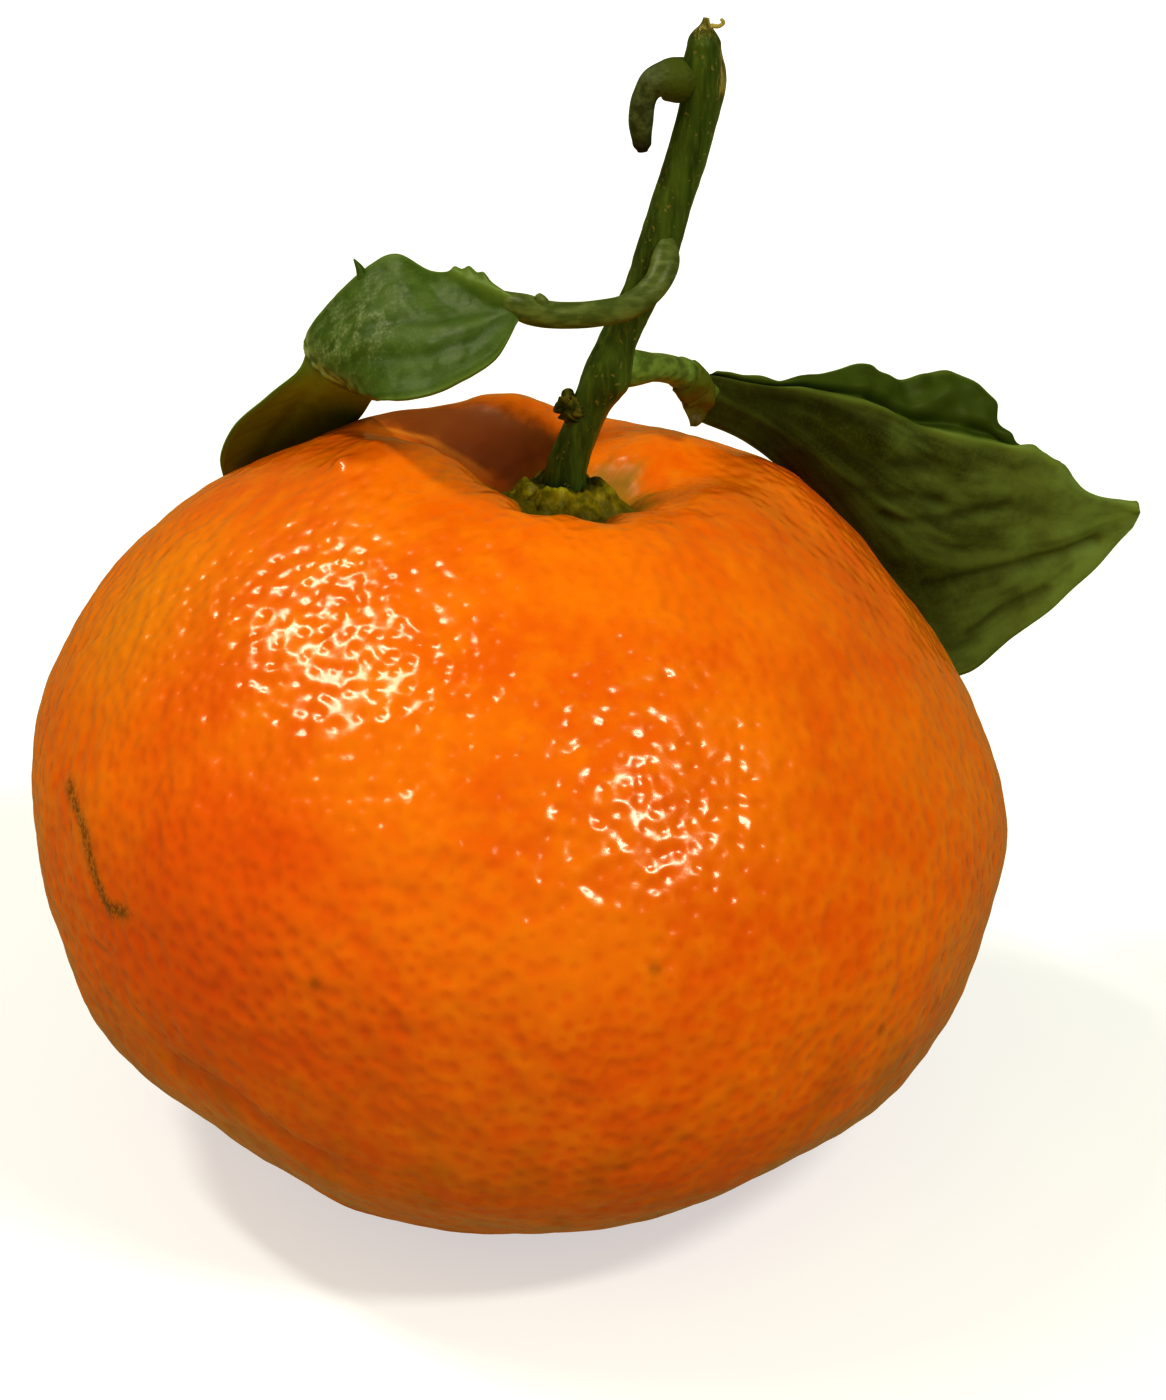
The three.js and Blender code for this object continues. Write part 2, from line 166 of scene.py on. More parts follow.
RIGHT_STATIONS = [
    [(15.1, 8, 48.7), (15.5, 8.2, 50.3), (15.9, 9, 51.6), (16.2, 9.5, 51.7)],
    [(18.2, 11, 46.1), (18.6, 11, 48.3), (19.2, 12, 49.7), (20, 13.5, 49.5)],
    [(22.1, 18.8, 39.6), (22.4, 15.5, 44.3), (22.9, 16, 47.9), (23.4, 18, 48.2)],
    [(27.1, 24.4, 28.4), (27.5, 19, 38.1), (27.3, 19, 45.7), (27, 21.5, 47.6)],
    [(31.8, 25, 21.6), (31.9, 22, 33.4), (31.1, 21.5, 43), (29.7, 23.5, 45.7)],
    [(35.6, 26.5, 21.5), (35.4, 24, 31.9), (34.4, 23, 41.5), (33.4, 25.5, 45.7)],
    [(39.1, 27, 24.3), (38.6, 25, 31.8), (37.2, 24, 40.6), (36.8, 26, 43.3)],
    [(40.4, 27.1, 25.3), (39.8, 25.5, 32.1), (38.7, 24.4, 40.1), (37.6, 26.8, 40.2)],
    [(42.3, 27.2, 26.8), (41.7, 26, 32.3), (40.9, 25, 39.1), (39.8, 27.5, 37.9)],
    [(45.1, 27.5, 29.7), (44.5, 26.8, 33), (43.8, 26, 36.1), (43.3, 28, 34.7)],
    [(47.4, 27.8, 32.7), (47.9, 27.6, 34), (47.6, 27.5, 34.4), (47.3, 28, 34)],
]

TWIG_PATH = [
    (6.15, 0, 46.3), (6.18, 0, 48.2), (6.5, 0, 49.4), (7.2, 0, 51.3), (8.4, 0.1, 54.6),
    (9.9, 0.2, 58.2), (11.3, 0.4, 61.2), (12.3, 0.6, 64.2), (13.1, 0.8, 67), (14, 1, 69.9),
    (14.65, 1.2, 72.6), (15, 1.3, 74.3), (14.9, 1.3, 75.8), (14.95, 1.3, 77.1), (15.05, 1.2, 78.2),
    (15.1, 1.2, 78.75),
]
TWIG_SIDES = 60
TWIG_RADIUS = 1.3
TWIG_SLIMMER = 0.11  # how much less it is below the left leaf
TWIG_FOOT = 1.36
TWIG_KNUCKLES = [(0.55, 0.06, 0.05), (0.27, 0.1, 0.04), (0.88, 0.06, 0.03)]  # share, rise, spread
TWIG_NODE = (0.27, 0.28, 0.05)  # the swelling towards the right leaf, likewise
TWIG_LUMPS = [(0.025, 1.8, 21), (0.01, 0.5, 22)]
STUB_PATH = [
    (14.75, 1.1, 74.7), (13.6, 1, 74.75), (12.65, 0.9, 74.7), (11.8, 0.8, 74.5), (11.25, 0.7, 73.7),
    (11, 0.6, 72.1), (11.05, 0.6, 70.8), (11.1, 0.6, 70.15),
]
STUB_ROOT = 1.45  # its radius beside the twig
STUB_RADIUS = 0.8
TORN_FIBRE = [
    (15, 1.2, 78.1), (15.5, 1.2, 78.25), (15.9, 1.15, 78.25), (16.2, 1.1, 78.5), (16.05, 1.05, 78.75),
]
BUD_FOOT = (7.6, -0.4, 52.9)
BUD_BEND = (7.3, -0.6, 52.8)  # each scale passes halfway between this and its tip
BUD_TIPS = [(5.6, -0.7, 53.5), (5.45, -0.3, 52.9), (5.95, 0, 53.9), (6.1, -1.2, 53.1), (5.75, -0.9, 52.4)]
LEFT_KNOB = [(4.8, -4.1, 60.9), (4.65, -4.1, 61.6), (4.4, -4.1, 62.1)]
LEFT_POINT = [(-7, 4.4, 59.7), (-7.25, 4.3, 60.4), (-7.45, 4.2, 61), (-7.75, 4.1, 61.6)]


# ---- small helpers

def smooth(value, low, high):
    """0 below low, 1 above high, and a smooth step from one to the other."""
    t = np.clip((value - low) / (high - low), 0, 1)
    return t * t * (3 - 2 * t)


def bell(distance, width):
    """1 at no distance, and next to nothing from two widths on."""
    return np.exp(-(distance / width) ** 2)


def norm(vectors):
    return np.linalg.norm(vectors, axis=-1)


def unit(vectors):
    return vectors / np.maximum(norm(vectors), 1e-9)[..., None]


def ripple(points, wavelength, seed):
    """A smooth random field over points, of about unit height, with hills about a wavelength apart."""
    waves = 24
    draw = np.random.default_rng(seed)
    directions = unit(draw.normal(size=(waves, 3)))
    numbers = 2 * np.pi / wavelength * draw.uniform(0.7, 1.4, waves)
    phases = draw.uniform(0, 2 * np.pi, waves)
    field = np.zeros(points.shape[:-1])
    for direction, number, phase in zip(directions, numbers, phases):
        field += np.sin(points @ direction * number + phase)
    return field * math.sqrt(2 / waves)


def ripples(points, layers):
    """The sum of some ripples, each with its height, wavelength and seed."""
    return sum(height * ripple(points, wavelength, seed) for height, wavelength, seed in layers)


def shaker(reach, wavelength, seeds):
    """A shape for limb that moves its points about smoothly, with a seed for each axis."""
    def shape(points, shares):
        return points + reach * np.stack([ripple(points, wavelength, seed) for seed in seeds], 1)
    return shape


def beside(points, line):
    """Distance from each point to a line through the given corners."""
    nearest = np.full(points.shape[:-1], np.inf)
    for a, b in zip(line[:-1], line[1:]):
        span = np.subtract(b, a)
        share = np.clip((points - a) @ span / (span @ span), 0, 1)[..., None]
        nearest = np.minimum(nearest, norm(points - a - share * span))
    return nearest


def curve(points, shares):
    """Points at shares of a centripetal Catmull-Rom curve through the given points."""
    points = np.array(points, float)
    last = len(points) - 1
    position = shares * last
    index = np.minimum(position.astype(int), last - 1)
    t = (position - index)[:, None]
    padded = np.vstack([2 * points[0] - points[1], points, 2 * points[-1] - points[-2]])
    p0, p1, p2, p3 = (padded[index + k] for k in range(4))
    d0, d1, d2 = (norm(b - a)[:, None] ** 0.5 for a, b in ((p0, p1), (p1, p2), (p2, p3)))
    m1 = ((p1 - p0) / d0 - (p2 - p0) / (d0 + d1) + (p2 - p1) / d1) * d1
    m2 = ((p2 - p1) / d1 - (p3 - p1) / (d1 + d2) + (p3 - p2) / d2) * d1
    return p1 + m1 * t + (3 * (p2 - p1) - 2 * m1 - m2) * t ** 2 + (2 * (p1 - p2) + m1 + m2) * t ** 3


def add_object(name, data):
    made = bpy.data.objects.new(name, data)
    bpy.context.scene.collection.objects.link(made)
    return made


def make_piece(name, points, faces, **values):
    """A smooth mesh object from points in millimetres, with its faces pointing out. The values, numbers
    or places for each point or each face, are for its material to read."""
    mesh = bpy.data.meshes.new(name)
    points = np.asarray(points)
    mesh.from_pydata((points * MM).tolist(), [], [tuple(face) for face in faces])
    corners = points[[face[:3] for face in faces]] - points.mean(0)
    volume = (corners[:, 0] * np.cross(corners[:, 1], corners[:, 2])).sum()
    if volume < 0:
        mesh.flip_normals()
    mesh.polygons.foreach_set("use_smooth", [True] * len(mesh.polygons))
    mesh.update()
    for key, value in values.items():
        value = np.asarray(value, np.float32)
        kind, field = ("FLOAT", "value") if value.ndim == 1 else ("FLOAT_VECTOR", "vector")
        attribute = mesh.attributes.new(key, kind, "POINT" if len(value) == len(points) else "FACE")
        attribute.data.foreach_set(field, value.ravel())
    return add_object(name, mesh)


def corner_normals(points, faces):
    """The mesh normal at each point of a triangle mesh."""
    a, b, c = (points[faces[:, k]] for k in range(3))
    normals = np.zeros_like(points)
    for k in range(3):
        np.add.at(normals, faces[:, k], np.cross(b - a, c - a))
    return unit(normals)


def grid_faces(rows, columns, wrap=False):
    """Quads over a grid of points, rows by columns, closed round its columns if wrap is true."""
    faces = []
    for i in range(rows - 1):
        for j in range(columns if wrap else columns - 1):
            k = (j + 1) % columns
            faces.append((i * columns + j, i * columns + k, (i + 1) * columns + k, (i + 1) * columns + j))
    return faces


# ---- rind

FLAT_RISE = BASE_DROP * (1 - (1 - (FLAT_RADIUS / RADIUS) ** BASE_POWER) ** (1 / BASE_POWER))


def aim(azimuth, height):
    """The unit direction at an azimuth and a height above the equator, both in degrees."""
    a, h = math.radians(azimuth), math.radians(height)
    return np.array([math.cos(h) * math.cos(a), math.cos(h) * math.sin(a), math.sin(h)])


def rind_points(directions):
    """The rind in each unit direction from the middle of the fruit's body."""
    up = directions[:, 2]
    out = np.hypot(directions[:, 0], directions[:, 1])
    azimuth = np.arctan2(directions[:, 1], directions[:, 0])
    above = up > 0
    rise = np.where(above, CROWN_RISE, BASE_DROP)
    power = np.where(above, CROWN_POWER, BASE_POWER)
    reach = ((out / RADIUS) ** power + (np.abs(up) / rise) ** power) ** (-1 / power)
    reach *= 1 + THREE_LOBES * out * out * np.cos(3 * (azimuth - THREE_LOBES_TURN))
    for side, height, spread, swell in SWELLS:
        angle = np.arccos(np.clip(directions @ aim(side, height), -1, 1))
        reach += swell * bell(angle, math.radians(spread))
    r = reach * out
    z = BASE_DROP + reach * up
    sink = CAVITY_DEPTH * bell(r, CAVITY_WIDTH)
    for side, depth, width, length in FURROWS:
        turn = azimuth - math.radians(side)
        forward = r * np.cos(turn)
        fade = smooth(forward, FURROW_START, FURROW_FULL)
        fade = fade * (1 - smooth(forward, length * FURROW_FADES, length))
        flare = FURROW_FLARE + np.maximum(forward, 0) / length
        sink += depth * fade * bell(r * np.sin(turn), width * flare)
    z -= np.where(above, sink, 0)
    x = r * np.cos(azimuth)
    z -= math.tan(EQUATOR_TILT) * x * smooth(z, 0, TILT_HEIGHT)
    z = np.maximum(z - FLAT_RISE, 0)
    return np.stack([x + CROWN_LEAN * z, r * np.sin(azimuth), z], axis=1)


def even_grid(steps):
    """Unit directions and faces of an even grid on a sphere, of 20 * steps ** 2 triangles."""
    golden = (1 + math.sqrt(5)) / 2
    corners = [np.roll((x, y, 0), turn) for turn in range(3) for y in (golden, -golden) for x in (-1, 1)]
    corners = np.array(corners) / math.hypot(1, golden)
    sides = [
        (0, 11, 5), (0, 5, 1), (0, 1, 7), (0, 7, 10), (0, 10, 11), (1, 5, 9), (5, 11, 4), (11, 10, 2),
        (10, 7, 6), (7, 1, 8), (3, 9, 4), (3, 4, 2), (3, 2, 6), (3, 6, 8), (3, 8, 9), (4, 9, 5), (2, 4, 11),
        (6, 2, 10), (8, 6, 7), (9, 8, 1),
    ]
    a, b = (g.ravel() for g in np.meshgrid(np.arange(steps + 1), np.arange(steps + 1), indexing="ij"))
    inside = a + b <= steps
    a, b = a[inside], b[inside]
    place = {(i, j): n for n, (i, j) in enumerate(zip(a.tolist(), b.tolist()))}
    one_side = []
    for (i, j), n in place.items():
        if i + j < steps:
            one_side.append((n, place[i + 1, j], place[i, j + 1]))
        if i + j < steps - 1:
            one_side.append((place[i + 1, j], place[i + 1, j + 1], place[i, j + 1]))
    # Equal shares of an arc rather than of a chord keep the triangles of one size on the sphere.
    weights = [np.tan(share * math.atan(1.0)) for share in (1 - a / steps - b / steps, a / steps, b / steps)]
    points = []
    for side in sides:
        points.append(unit(sum(weight[:, None] * corners[corner] for weight, corner in zip(weights, side))))
    faces = np.vstack([np.array(one_side) + n * len(a) for n in range(len(sides))])
    points = np.vstack(points)
    _, first, same = np.unique(np.round(points, 6), axis=0, return_index=True, return_inverse=True)
    return points[first], same.reshape(-1)[faces]


def tree_of(points):
    """A search tree over points."""
    tree = kdtree.KDTree(len(points))
    for n, point in enumerate(points):
        tree.insert(Vector(point), n)
    tree.balance()
    return tree


def scatter(points, gaps, seed):
    """Some of the points, taken in a random order and none nearer than its gap to one before it."""
    tree = tree_of(points)
    free = np.ones(len(points), bool)
    chosen = []
    for n in np.random.default_rng(seed).permutation(len(points)):
        if free[n]:
            chosen.append(n)
            for _, k, _ in tree.find_range(Vector(points[n]), gaps[n]):
                free[k] = False
    return points[chosen]


def three_nearest(tree, targets):
    """The numbers of the three points of the tree nearest to each target."""
    return np.array([[k for _, k, _ in tree.find_n(Vector(target), 3)] for target in targets])


def make_fruit():
    """The rind, with its marks and the three nearest glands of each face for its finish."""
    directions, faces = even_grid(RIND_STEPS)
    points = rind_points(directions)
    normals = corner_normals(points, faces)
    on_flat = points[:, 2] <= 0

    points = points + normals * np.where(on_flat, 0, ripples(points, UNEVENNESS))[:, None]
    gaps = GLAND_GAP * (1 + ripples(points, GLAND_GAP_CHANGE))
    glands = scatter(points, gaps, GLAND_PLACE_SEED)
    sizes = np.random.default_rng(GLAND_SIZE_SEED).uniform(*GLAND_SIZES, len(glands))
    tree = tree_of(glands)
    owners = three_nearest(tree, points)
    hollow = 0
    for k in range(3):
        distance = norm(points - glands[owners[:, k]])
        size = sizes[owners[:, k]]
        hollow = hollow + GLAND_DEPTH * size * bell(distance, GLAND_WIDTH * size)
    calm = bell(beside(points, SHADED_FURROW_WALL), CALM_BY_WALL)
    calm = np.maximum(calm, bell(beside(points, HIGHLIT_LIP), CALM_BY_LIP))
    for centre, width, share in SMOOTH_SPOTS:
        calm = np.maximum(calm, share * bell(norm(points - centre), width))
    depth = LOW_GLAND_SHARE + (1 - LOW_GLAND_SHARE) * smooth(points[:, 2], *GLANDS_DEEPEN)
    hollow = hollow * (1 - CALMING * calm) * depth
    points = points - normals * (GLAND_SHARE * hollow)[:, None]
    points[:, 2] = np.where(on_flat, 0, np.maximum(points[:, 2], 0))

    points = points - normals * (CREASE_DEPTH * bell(beside(points, CREASE), CREASE_WIDTH))[:, None]
    for centre, height, width in PIMPLES:
        points = points + normals * (height * bell(norm(points - centre), width))[:, None]
    blossom_scar = BLOSSOM_SCAR_DEPTH * bell(np.hypot(points[:, 0], points[:, 1]), BLOSSOM_SCAR_WIDTH)
    points[:, 2] = np.where(on_flat, blossom_scar, points[:, 2])

    marks = {name: bell(beside(points, line), width) for name, (line, width) in RIND_MARKS.items()}
    marks["scars"] = np.max([bell(norm(points - scar), SCAR_SIZE) for scar in SCARS], axis=0)
    owners = three_nearest(tree, points[faces].mean(1))
    for k, letter in enumerate("abc"):
        marks["gland_" + letter] = glands[owners[:, k]]
    return make_piece("rind", points, faces.tolist(), calm=calm, **marks, gland_sizes=sizes[owners])


# ---- calyx

CALYX_MIDDLE = (6.15, 0)
CALYX_LOBES = [(186, 5.9), (250, 6.8), (284, 6.7), (350, 4.7), (80, 4.6), (135, 4.4)]  # azimuth, reach
CALYX_KNOBS = [  # azimuth, distance from the middle, rise
    (205, 2.8, 0.45), (258, 2.6, 0.8), (325, 2.9, 0.4), (15, 2.9, 0.3), (80, 2.8, 0.4), (140, 2.8, 0.4),
]
CALYX_KNOB_WIDTH = 0.75
CALYX_KNOB_SPREAD = 26  # degrees
CALYX_WARTS = [(0.09, 1.2, 11), (0.04, 0.5, 12)]
CALYX_HEART = 3.6  # reach between the lobes
CALYX_LOBE_SPREAD = 31  # degrees from the middle of a lobe to its foot
CALYX_SKIN = 0.5
CALYX_SUNK = 0.12  # how deep its lower face lies in the rind
CALYX_TOP = 46.8  # height that the cushion under the knobs fills the stem cavity to
CALYX_SEAT = 47.2
CALYX_SIDES = 240
CALYX_RINGS = 56


def rind_height(x, y):
    """Height of the rind over places near the stem cavity."""
    z = np.full(x.shape, 45.0)  # a first guess
    for _ in range(6):
        dx = x - CROWN_LEAN * z
        azimuth = np.arctan2(y, dx)
        out = np.hypot(dx, y)
        near, far = np.full(x.shape, 0.0), np.full(x.shape, math.pi / 2)
        for _ in range(26):
            lean = (near + far) / 2
            flat = np.sin(lean)
            p = rind_points(np.stack([flat * np.cos(azimuth), flat * np.sin(azimuth), np.cos(lean)], 1))
            too_far = np.hypot(p[:, 0] - CROWN_LEAN * p[:, 2], p[:, 1]) > out
            far = np.where(too_far, lean, far)
            near = np.where(too_far, near, lean)
        z = p[:, 2]
    return z


def make_calyx():
    """The star of plump lobes, lying on the rind and thinning out to a round edge."""
    share = (np.arange(1, CALYX_RINGS + 1) / CALYX_RINGS).repeat(CALYX_SIDES)
    azimuth = np.tile(np.arange(CALYX_SIDES) / CALYX_SIDES * 360, CALYX_RINGS)

    def aside(side):
        return np.abs((azimuth - side + 180) % 360 - 180)

    reach = np.full(share.shape, CALYX_HEART)
    for side, length in CALYX_LOBES:
        lobe = np.maximum(1 - np.hypot(aside(side), 3) / CALYX_LOBE_SPREAD, 0) ** 0.85
        reach = np.maximum(reach, CALYX_HEART + (length - CALYX_HEART) * lobe)
    r = share * reach
    angle = np.radians(azimuth)
    x, y = CALYX_MIDDLE[0] + r * np.cos(angle), CALYX_MIDDLE[1] + r * np.sin(angle)
    knob = 0
    for side, out, rise in CALYX_KNOBS:
        knob = knob + rise * bell(r - out, CALYX_KNOB_WIDTH) * bell(aside(side), CALYX_KNOB_SPREAD)
    under = rind_height(x, y) - CALYX_SUNK
    low = np.stack([x, y, under], 1)
    edge = np.sqrt(1 - smooth(share, 0.72, 1.0) ** 2)
    cushion = np.maximum(CALYX_TOP - under, 0) * (1 - smooth(share, 0.5, 1))
    top = under + CALYX_SUNK + (CALYX_SKIN + cushion + knob + ripples(low, CALYX_WARTS)) * edge
    seat = 1 - smooth(r, 1.0, 1.7)
    top = top * (1 - seat) + CALYX_SEAT * seat
    high = np.stack([x, y, top], 1)
    count = len(x)
    ends = [(*CALYX_MIDDLE, CALYX_SEAT), (*CALYX_MIDDLE, under[0])]
    faces = grid_faces(CALYX_RINGS, CALYX_SIDES, wrap=True)
    faces += [tuple(n + count for n in reversed(face)) for face in faces]
    last = count - CALYX_SIDES
    for j in range(CALYX_SIDES):
        k = (j + 1) % CALYX_SIDES
        faces += [(2 * count, k, j), (2 * count + 1, count + j, count + k)]
        faces.append((last + j, last + k, count + last + k, count + last + j))
    knob = np.concatenate([knob, knob * 0, [0, 0]])
    return make_piece("calyx_star", np.vstack([high, low, ends]), faces, knob=knob, reach=[*r, *r, 0, 0])


# ---- twig, petioles

def limb(name, path, radius_at, sides, steps, shape=None):
    """A closed limb along a curve, its radius at each share and angle given, and moved by shape."""
    shares = np.linspace(0, 1, steps * 8 + 1)
    lengths = np.concatenate([[0], np.cumsum(norm(np.diff(curve(path, shares), axis=0)))])
    line = curve(path, np.interp(np.linspace(0, lengths[-1], steps + 1), lengths, shares))
    tangents = unit(np.gradient(line, axis=0))
    angles = np.arange(sides) / sides * 2 * math.pi
    side = np.cross(tangents[0], (0.0, 1.0, 0.0))
    rings = []
    for n, (point, tangent) in enumerate(zip(line, tangents)):
        side = unit(side - tangent * (side @ tangent))
        outward = np.outer(np.cos(angles), side) + np.outer(np.sin(angles), np.cross(tangent, side))
        rings.append(point + radius_at(np.full(sides, n / steps), angles)[:, None] * outward)
    points = np.vstack(rings)
    shares = np.arange(steps + 1).repeat(sides) / steps
    if shape:
        points = shape(points, shares)
    count = len(points)
    faces = grid_faces(steps + 1, sides, wrap=True)
    for j in range(sides):
        k = (j + 1) % sides
        faces += [(count, k, j), (count + 1, count - sides + j, count - sides + k)]
    ends = [points[:sides].mean(0), points[-sides:].mean(0)]
    return make_piece(name, np.vstack([points, ends]), faces, share=[*shares, 0, 1])


def make_twig():
    """The ribbed stem with its knuckles, drawn in towards its torn end."""
    def radius_at(s, angle):
        radius = TWIG_RADIUS - TWIG_SLIMMER * (1 - smooth(s, 0.4, 0.6))
        radius = radius + (TWIG_FOOT - radius) * (1 - smooth(s, 0, 0.14))
        for at, rise, spread in TWIG_KNUCKLES:
            radius = radius + rise * bell(s - at, spread)
        at, rise, spread = TWIG_NODE
        radius = radius + rise * bell(s - at, spread) * (1 - np.cos(angle))
        ridges = 0.08 * np.abs(np.cos(1.5 * angle + 1.1 * s + 0.4)) ** 3 + 0.02 * np.cos(8 * angle - 2 * s)
        return (radius + ridges) * (1 - 0.2 * smooth(s, 0.9, 0.95) - 0.64 * smooth(s, 0.95, 1))

    def shape(points, shares):
        centre = points.reshape(-1, TWIG_SIDES, 3).mean(1).repeat(TWIG_SIDES, 0)
        lumps = ripples(points * (1, 1, 0.2), TWIG_LUMPS) * (1 - smooth(shares, 0.95, 1))
        return points + unit(points - centre) * lumps[:, None]

    return limb("twig_stem", TWIG_PATH, radius_at, TWIG_SIDES, 280, shape)


def make_stub():
    """The hooked stub of a side shoot, thick at the twig and shrivelled at its end."""
    def radius_at(s, angle):
        radius = STUB_ROOT - 0.45 * (1 - smooth(s, 0, 0.15))
        radius = radius - (STUB_ROOT - STUB_RADIUS) * smooth(s, 0.2, 0.52) - 0.2 * smooth(s, 0.7, 0.95)
        return radius * (1 + 0.05 * np.cos(3 * angle + 5 * s)) * np.sqrt(1 - 0.7 * smooth(s, 0.93, 1))
    return limb("twig_stub", STUB_PATH, radius_at, 36, 120)


def make_fibre():
    """The torn end's loose fibre, curled round at its tip."""
    return limb("torn_fibre", TORN_FIBRE, lambda s, angle: 0.19 - 0.08 * s, 12, 40)


def make_bud():
    """A resting bud in the angle of a lost leaf: rough scales that lean over each other."""
    scales = []
    for n, tip in enumerate(BUD_TIPS):
        path = [BUD_FOOT, np.add(BUD_BEND, tip) / 2, tip]
        rough = shaker(0.12, 0.9, (60 + n, 70 + n, 80 + n))
        name = "bud_scale_%d" % (n + 1)
        scales.append(limb(name, path, lambda s, angle: 0.6 * np.sqrt(1.03 - s ** 3), 28, 40, rough))
    return scales


def make_left_petiole():
    """The left leaf's stalk, which runs out into the blade's midrib."""
    def radius_at(s, angle):
        radius = 0.82 + 0.1 * bell(s - 0.12, 0.1) + 0.1 * bell(s - 0.74, 0.08)
        radius = radius * (1 + 0.05 * np.cos(2 * angle + 2 * s))
        return radius * (1 - 0.85 * smooth(s, 0.7, 0.95)) * (0.3 + 0.7 * smooth(s, 0, 0.17))
    return limb("left_petiole", LEFT_PETIOLE, radius_at, 36, 140)


def make_left_knob():
    """The small scar that stands on the left petiole."""
    return limb("left_knob", LEFT_KNOB, lambda s, angle: 0.6 * np.sqrt(1.1 - s), 24, 30)


def make_right_petiole():
    """The right leaf's stalk, thick at the twig, with a ring where its joint begins."""
    def radius_at(s, angle):
        radius = 0.96 * (1 + 0.3 * (1 - smooth(s, 0.1, 0.35))) * (1 + 0.05 * np.cos(3 * angle + 2 * s))
        radius = radius + 0.12 * (smooth(s, 0.74, 0.78) - bell(s - 0.73, 0.015))
        return radius * np.sqrt(1 - 0.75 * smooth(s, 0.93, 1)) * (0.55 + 0.45 * smooth(s, 0, 0.09))
    return limb("right_petiole", RIGHT_PETIOLE, radius_at, 40, 160)


def make_right_joint():
    """The swollen underside of the right leaf's joint, down to its tooth."""
    def radius_at(s, angle):
        return 1.2 * (1 - s ** 2.2) + 0.08 + 0.12 * np.cos(2 * angle)

    return limb("right_joint", RIGHT_JOINT, radius_at, 36, 90, shaker(0.12, 1.7, (70, 71, 72)))


def make_right_neck():
    """The root of the right leaf's midrib, which carries the blade from the joint."""
    def radius_at(s, angle):
        return (1.0 - 0.75 * s) * (1 + 0.06 * np.cos(3 * angle))
    return limb("right_neck", RIGHT_NECK, radius_at, 28, 70)


# ---- leaf blades

LEAF_MARKS = ("groove", "light", "rim", "sheen", "root", "behind", "pale")
STREAK_SCALE = (6, 14, 1)  # waves of noise along and across a blade, so that its streaks run lengthwise
UNDER_STREAKS = 40  # how far off in the same noise the under face takes its own


def make_blade(name, stations, side, shape):
    """A thin closed blade. shape gives its relief towards the seen side, and values for its finish."""
    shares, sides = np.linspace(0, 1, BLADE_ROWS + 1), np.linspace(0, 1, BLADE_COLUMNS + 1)
    lines = np.stack([curve(line, shares) for line in zip(*stations)], axis=1)
    middle = np.stack([curve(line, sides) for line in lines])
    normal = unit(np.cross(np.gradient(middle, axis=0), np.gradient(middle, axis=1)) * side)
    share, across = np.meshgrid(shares, sides, indexing="ij")

    def near(pairs):
        """Distance to a line on the blade, given as shares."""
        return beside(middle, [middle[round(s * BLADE_ROWS), round(a * BLADE_COLUMNS)] for s, a in pairs])

    relief, lift, values = shape(share, across, middle, near)
    margin = np.minimum.reduce([across, 1 - across, share * 2, (1 - share) * 2])
    half = (LEAF_EDGE + (LEAF_THICKNESS - LEAF_EDGE) * smooth(margin, 0, THIN_MARGIN)) / 2
    bent = middle + normal * relief[:, :, None] + lift
    half = normal * half[:, :, None]
    points = np.vstack([bent + half, bent - half]).reshape(-1, 3)
    count, width = len(points) // 2, BLADE_COLUMNS + 1
    faces = grid_faces(BLADE_ROWS + 1, width)
    faces += [tuple(n + count for n in reversed(face)) for face in faces]
    last = BLADE_ROWS * width
    border = [*range(BLADE_COLUMNS), *range(BLADE_COLUMNS, last, width)]
    border += [*range(last + BLADE_COLUMNS, last, -1), *range(last, 0, -width)]
    for a, b in zip(border, border[1:] + border[:1]):
        faces.append((b, a, a + count, b + count))
    marks = {key: np.tile(values.get(key, 0 * share).ravel(), 2) for key in LEAF_MARKS}
    along = np.stack([share.ravel(), across.ravel(), 0 * share.ravel()], 1) * STREAK_SCALE
    return make_piece(name, points, faces, **marks, along=np.vstack([along, along + UNDER_STREAKS]))


# Lines on the blades, as shares of the way from petiole to tip and from front to back margin.
LEFT_MIDRIB = [
    (0, 0.56), (0.03, 0.56), (0.11, 0.52), (0.215, 0.485), (0.33, 0.54), (0.45, 0.6), (0.57, 0.55),
    (0.75, 0.5), (1, 0.5),
]
LEFT_FOLD = [(0.04, 0.33), (0.085, 0.31), (0.15, 0.255), (0.233, 0.24), (0.355, 0.315), (0.42, 0.36)]
LEFT_ROLL = [(0, 0.93), (0.05, 0.85), (0.10, 0.89), (0.14, 0.96)]
LEFT_RIM = [(0.525, 1.0), (0.548, 0.77), (0.548, 0.5), (0.54, 0.3), (0.475, 0.13), (0.37, 0.0)]
LEFT_CURLS = [(0.068, 0.4), (0.1, 0.42), (0.135, 0.22)]  # of the back margin: share, rise
RIGHT_MIDRIB = [
    (0, 0.42), (0.12, 0.31), (0.23, 0.34), (0.32, 0.375), (0.458, 0.375), (0.64, 0.35), (0.88, 0.34),
    (1, 0.45),
]
RIGHT_CREST = [
    (0, 0.9), (0.06, 0.76), (0.175, 0.68), (0.3, 0.668), (0.45, 0.665), (0.6, 0.665), (0.76, 0.68),
    (0.8, 0.64), (0.83, 0.72), (0.9, 0.85), (1, 0.5),
]
